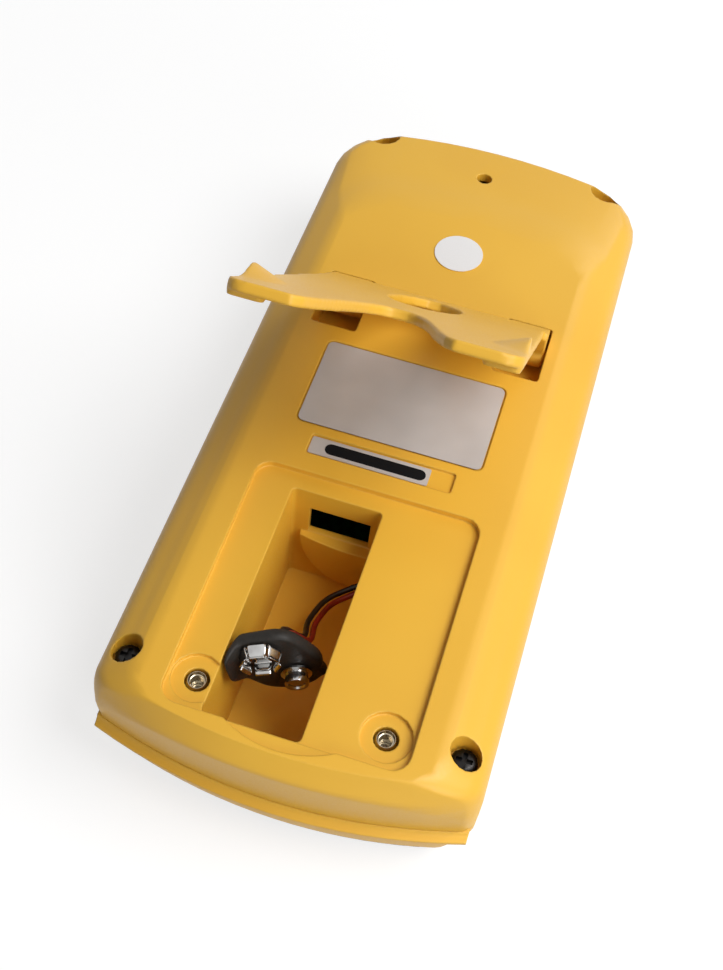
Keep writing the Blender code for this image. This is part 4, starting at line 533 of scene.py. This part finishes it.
# Battery leads.
# Two stranded wires in soft vinyl, one black and one red, soldered to the board side by side.
# They come through the pocket's side wall and rise in a loose bow to the back of the snap.
LEAD_BLACK = (0.014, 0.012, 0.011)
LEAD_BLACK_DEEP = (0.008, 0.007, 0.007)
# The red is set darker to match the lead's shaded look: partly the vinyl's own colour, partly painted shade.
LEAD_RED = (0.30, 0.020, 0.016)
LEAD_RED_DEEP = (0.21, 0.011, 0.01)
LEAD_THICK = 0.0014
LEAD_APART = 0.0018
LEAD_STEPS = 4
LEAD_ROUNDNESS = 3
LEAD_LINE = [
    (0.01045, -0.04255, 0.0119),
    (0.01045, -0.04255, 0.0166),
    (0.00845, -0.04255, 0.0214),
    (0.00445, -0.04255, 0.0228),
    (-0.0005, -0.04595, 0.0220),
    (-0.0037, -0.04995, 0.0222),
    (-0.0052, -0.05675, 0.0240),
    (-0.0045, -0.06335, 0.0280),
    (-0.00820, -0.06713, 0.03613),
    (-0.00644, -0.07182, 0.03614),
]


def bowed(points, steps):
    """A smooth line through the points, with a number of steps from each to the next."""
    line = []
    for i in range(len(points) - 1):
        before, start, end = points[max(i - 1, 0)], points[i], points[i + 1]
        after = points[min(i + 2, len(points) - 1)]
        for k in range(steps):
            t = k / steps
            bend = (2 * before - 5 * start + 4 * end - after) * t**2
            bend += (3 * start - before - 3 * end + after) * t**3
            line.append((2 * start + (end - before) * t + bend) / 2)
    return line + [points[-1]]


def lead(name, node, side, colour, deep):
    """One lead beside the pair's middle line, with its length measured along its own line."""
    middle = [Vector(point) for point in LEAD_LINE]
    beside = []
    for i, point in enumerate(middle):
        start = max(i - 1, 0)
        ahead = middle[min(start + 2, len(middle) - 1)] - middle[start]
        beside.append(point + Vector((ahead.y, -ahead.x, 0.0)).normalized() * side * LEAD_APART / 2)
    line = bowed(beside, LEAD_STEPS)
    curve = bpy.data.curves.new(name, "CURVE")
    curve.dimensions = "3D"
    curve.bevel_depth = LEAD_THICK / 2
    curve.bevel_resolution = LEAD_ROUNDNESS
    curve.use_fill_caps = True
    spline = curve.splines.new("POLY")
    spline.points.add(len(line) - 1)
    for at, point in zip(spline.points, line):
        at.co = (*point, 1.0)
    spline.use_smooth = True
    piece = bpy.data.objects.new(name, curve)
    bpy.context.scene.collection.objects.link(piece)
    sleeve, shader = new_finish(name + "_vinyl", colour, roughness=0.36)
    toned(sleeve, shader, patches(sleeve, 260.0), deep, colour)
    fine = cloud(sleeve, 2400.0)
    glossed(sleeve, shader, fine, 0.3, 0.44)
    grained(sleeve, shader, fine, strength=0.15, relief=0.00003)
    curve.materials.append(sleeve)
    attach(piece, "case")
    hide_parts(node)
    length = sum((b - a).length for a, b in zip(line, line[1:]))
    return piece, line[0], length


black_lead, black_exit, black_length = lead("black_lead", "lead_black", 1, LEAD_BLACK, LEAD_BLACK_DEEP)
red_lead, red_exit, red_length = lead("red_lead", "lead_red", -1, LEAD_RED, LEAD_RED_DEEP)


# Battery snap.
# A soft black vinyl cap is moulded over a fibre plate that carries two riveted nickel-plated terminals:
# a turned stud and a six-petalled spring socket. It hangs by its leads, half out of the pocket.
MM = 0.001
SNAP_ALONG = Vector((0.60214, 0.22385, -0.76636))
SNAP_FACING = Vector((0.35121, -0.93629, 0.00246))
SNAP_MIDDLE = Vector((-0.00765, -0.07445, 0.0386))
TERMINAL_SPACING = 12.7 * MM
VINYL = (0.018, 0.016, 0.015)
VINYL_DEEP = (0.010, 0.009, 0.008)
VINYL_PALE = (0.030, 0.026, 0.022)
VINYL_SHINE = 0.2
CAP_EDGE = [  # the cap's outline in its own plane, in millimetres
    (-13.0, -4.4), (-12.2, -2.2), (-11.1, 0.4), (-9.9, 3.2), (-8.6, 5.9), (-6.2, 7.8), (-2.6, 8.2),
    (1.6, 7.8), (5.6, 7.3), (8.6, 6.0), (10.0, 4.5), (12.9, 4.0), (13.2, 2.2), (14.2, -0.6), (13.9, -4.0),
    (12.0, -7.6), (8.6, -10.2), (3.6, -10.9), (-1.4, -10.6), (-4.9, -9.6), (-8.4, -7.6), (-11.2, -5.9),
]
CAP_FORM = [  # from back to front: height in millimetres, and share of the outline
    (-1.2, 0.3), (-1.5, 0.62), (-1.6, 0.86), (-1.2, 0.975), (0.0, 1.0),
    (1.1, 0.985), (1.6, 0.945), (1.75, 0.88), (1.75, 0.6), (1.75, 0.25),
]
CAP_STEPS = 3
CURL_TOWARDS = Vector((-0.55, -0.835, 0.0))
CURL_FROM = 7.6 * MM
CURL_WIDTH = 3.2 * MM
CURL_RISE = 4.5 * MM
CURL_POWER = 1.2
PETALS = 6
PETAL_ACROSS = (-1.0, -0.5, 0.0, 0.5, 1.0)
PETAL_LINE = [  # reach, height and half width, in millimetres
    (2.6, 2.05, 1.0), (4.2, 2.1, 2.05), (4.3, 2.6, 2.1), (3.95, 3.6, 2.0),
    (3.6, 4.4, 1.8), (3.75, 5.0, 1.75), (4.35, 5.45, 1.9),
]
PETAL_SHEET = 0.26 * MM
RIVET_LINE = [(3.0, 2.05), (2.9, 2.3), (2.2, 2.4), (1.9, 2.75), (1.0, 2.95), (0.4, 2.97)]  # reach, height
RIVET_SIDES = 20
WORN_NICKEL = (0.60, 0.60, 0.59)
WORN_NICKEL_DULL = (0.42, 0.41, 0.40)

vinyl, shader = new_finish("black_vinyl", VINYL, roughness=0.5)
shader.inputs["Specular IOR Level"].default_value = VINYL_SHINE
fine = cloud(vinyl, 1500.0, detail=3.0)
toned(vinyl, shader, fine, VINYL_DEEP, VINYL_PALE)
glossed(vinyl, shader, fine, 0.42, 0.58)
grained(vinyl, shader, fine, strength=0.35, relief=0.00006)

snap_place = Matrix((SNAP_ALONG, SNAP_FACING.cross(SNAP_ALONG), SNAP_FACING)).transposed().to_4x4()
snap_place.translation = SNAP_MIDDLE
cap_edge = [Vector((x, y, 0.0)) * MM for x, y in CAP_EDGE]
cap_middle = sum(cap_edge, Vector()) / len(cap_edge)
round_trip = bowed([cap_edge[-1], *cap_edge, cap_edge[0], cap_edge[1]], CAP_STEPS)
outline = round_trip[CAP_STEPS:-CAP_STEPS - 1]
rings = []
for height, share in CAP_FORM:
    ring = [cap_middle + (point - cap_middle) * share for point in outline]
    for point in ring:
        curl = max(0.0, (point.dot(CURL_TOWARDS) - CURL_FROM) / CURL_WIDTH) ** CURL_POWER
        point.z = height * MM + CURL_RISE * curl
    rings.append(ring)
cap_mesh = bmesh.new()
rings_skin(cap_mesh, rings)
cap = add_piece("vinyl_cap", cap_mesh, vinyl, "case", snap_place)
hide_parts("snap_cap")
softened = cap.modifiers.new("rounded", "SUBSURF")
softened.levels = softened.render_levels = 1

clip_mesh = bmesh.new()
for i in range(PETALS):
    angle = (i + 0.5) * 2 * math.pi / PETALS
    out = Vector((math.cos(angle), math.sin(angle), 0.0))
    side = Vector((-out.y, out.x, 0.0))
    rows = []
    for reach, height, half in PETAL_LINE:
        row = [out * reach + side * half * share + Vector((0.0, 0.0, height)) for share in PETAL_ACROSS]
        rows.append([clip_mesh.verts.new(point * MM) for point in row])
    for low, high in zip(rows, rows[1:]):
        for k in range(len(PETAL_ACROSS) - 1):
            clip_mesh.faces.new((low[k], low[k + 1], high[k + 1], high[k]))
rivet = []
for reach, height in RIVET_LINE:
    turns = [k * 2 * math.pi / RIVET_SIDES for k in range(RIVET_SIDES)]
    rivet.append([Vector((reach * math.cos(turn), reach * math.sin(turn), height)) * MM for turn in turns])
rings_skin(clip_mesh, rivet)
clip_place = snap_place @ Matrix.Translation((-TERMINAL_SPACING / 2, 0.0, 0.0))
snap_nickel = metal("worn_nickel", WORN_NICKEL, WORN_NICKEL_DULL, roughness=0.17)
clip = add_piece("spring_socket", clip_mesh, snap_nickel, "case", clip_place)
sheet_metal = clip.modifiers.new("sheet_metal", "SOLIDIFY")
sheet_metal.thickness = PETAL_SHEET
sheet_metal.offset = 0.0
pressed = clip.modifiers.new("pressed", "SUBSURF")
pressed.levels = pressed.render_levels = 1
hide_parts("snap_clip")
dress(snap_nickel, "snap_stud")


# Stage: a white floor that keeps the meter's shadow, soft daylight from the right, and the camera.
# The floor and the room are plain white where they are seen or mirrored, and light the meter at a plain
# level. Away from the meter the floor fades to the room's white.
WHITE = (1.0, 1.0, 1.0, 1.0)
FLOOR_HALF = 6.0
FLOOR_LEVEL = -0.0002
FLOOR_GREY = (0.35, 0.35, 0.35)
SHADOW_GREY = (0.34, 0.34, 0.34, 1.0)
FLOOR_GLOW = 0.72
FADE_FROM, FADE_TO = 0.15, 0.6
ROOM_LIGHT = 0.15
LIGHT_TARGET = (0.0, 0.0, 0.03)

floor_mesh = bmesh.new()
bmesh.ops.create_grid(floor_mesh, x_segments=1, y_segments=1, size=FLOOR_HALF)
floor_data = bpy.data.meshes.new("floor")
floor_mesh.to_mesh(floor_data)
floor_mesh.free()
floor = bpy.data.objects.new("floor", floor_data)
bpy.context.scene.collection.objects.link(floor)
floor.location.z = FLOOR_LEVEL


def seen_share(owner):
    """1 for a ray from the camera, a mirror or a clear piece, and 0 for light on its way round the room."""
    path = add_node(owner, "ShaderNodeLightPath")
    total = path.outputs["Is Camera Ray"]
    for name in ("Is Glossy Ray", "Is Transmission Ray"):
        larger = add_node(owner, "ShaderNodeMath")
        larger.operation = "MAXIMUM"
        link(owner, total, larger.inputs[0])
        link(owner, path.outputs[name], larger.inputs[1])
        total = larger.outputs[0]
    return total


def shader_mix(owner, share, first, second):
    """One shader turning into another, by a share from 0 to 1."""
    mix = add_node(owner, "ShaderNodeMixShader")
    for socket, out in zip(mix.inputs, (share, first, second)):
        link(owner, out, socket)
    return mix.outputs[0]


pale, unseen = new_finish("pale_floor", FLOOR_GREY, roughness=0.9)
faint = add_node(pale, "ShaderNodeBsdfDiffuse", Color=SHADOW_GREY)
glow = add_node(pale, "ShaderNodeEmission", Color=WHITE, Strength=FLOOR_GLOW)
near = add_node(pale, "ShaderNodeAddShader")
link(pale, faint.outputs[0], near.inputs[0])
link(pale, glow.outputs[0], near.inputs[1])
far = add_node(pale, "ShaderNodeEmission", Color=WHITE, Strength=1.0)
where = add_node(pale, "ShaderNodeTexCoord")
away = add_node(pale, "ShaderNodeVectorMath")
away.operation = "LENGTH"
link(pale, where.outputs["Object"], away.inputs[0])
fade = spread(pale, away.outputs["Value"], 0.0, 1.0, FADE_FROM, FADE_TO)
seen = shader_mix(pale, fade, near.outputs[0], far.outputs[0])
surface = shader_mix(pale, seen_share(pale), unseen.outputs[0], seen)
link(pale, surface, pale.node_tree.nodes["Material Output"].inputs["Surface"])
floor_data.materials.append(pale)


def soft_light(name, place, size, power):
    """A round lamp that faces the meter."""
    lamp = bpy.data.lights.new(name, "AREA")
    lamp.shape = "DISK"
    lamp.size = size
    lamp.energy = power
    holder = bpy.data.objects.new(name, lamp)
    bpy.context.scene.collection.objects.link(holder)
    holder.location = place
    holder.rotation_euler = (Vector(LIGHT_TARGET) - Vector(place)).to_track_quat("-Z", "Y").to_euler()


soft_light("window_light", (0.57, -0.08, 0.86), size=0.7, power=9.0)
soft_light("room_light", (0.7, -0.8, 0.4), size=0.6, power=4.4)
soft_light("back_light", (0.3, 0.8, 0.55), size=0.25, power=1.2)

world = bpy.data.worlds.new("room")
bpy.context.scene.world = world
world.use_nodes = True
around = world.node_tree.nodes["Background"]
around.inputs["Color"].default_value = WHITE
around.inputs["Strength"].default_value = ROOM_LIGHT
white = add_node(world, "ShaderNodeBackground", Color=WHITE, Strength=1.0)
room = shader_mix(world, seen_share(world), around.outputs[0], white.outputs[0])
link(world, room, world.node_tree.nodes["World Output"].inputs["Surface"])

CAMERA_PLACE = (0.033673, -0.202547, 0.301273)
CAMERA_RIGHT = Vector((0.95358, 0.29435, 0.06364))
CAMERA_DOWN = Vector((0.27754, -0.77694, -0.56510))
CAMERA_AHEAD = Vector((-0.11689, 0.55652, -0.82257))
lens = bpy.data.cameras.new("photo_camera")
lens.sensor_width = 36.0
lens.lens = 49.03
camera = bpy.data.objects.new("photo_camera", lens)
bpy.context.scene.collection.objects.link(camera)
axes = Matrix((CAMERA_RIGHT, -CAMERA_DOWN, -CAMERA_AHEAD)).transposed().to_4x4()
camera.matrix_world = Matrix.Translation(CAMERA_PLACE) @ axes
bpy.context.scene.camera = camera
bpy.context.scene.view_settings.view_transform = "Standard"
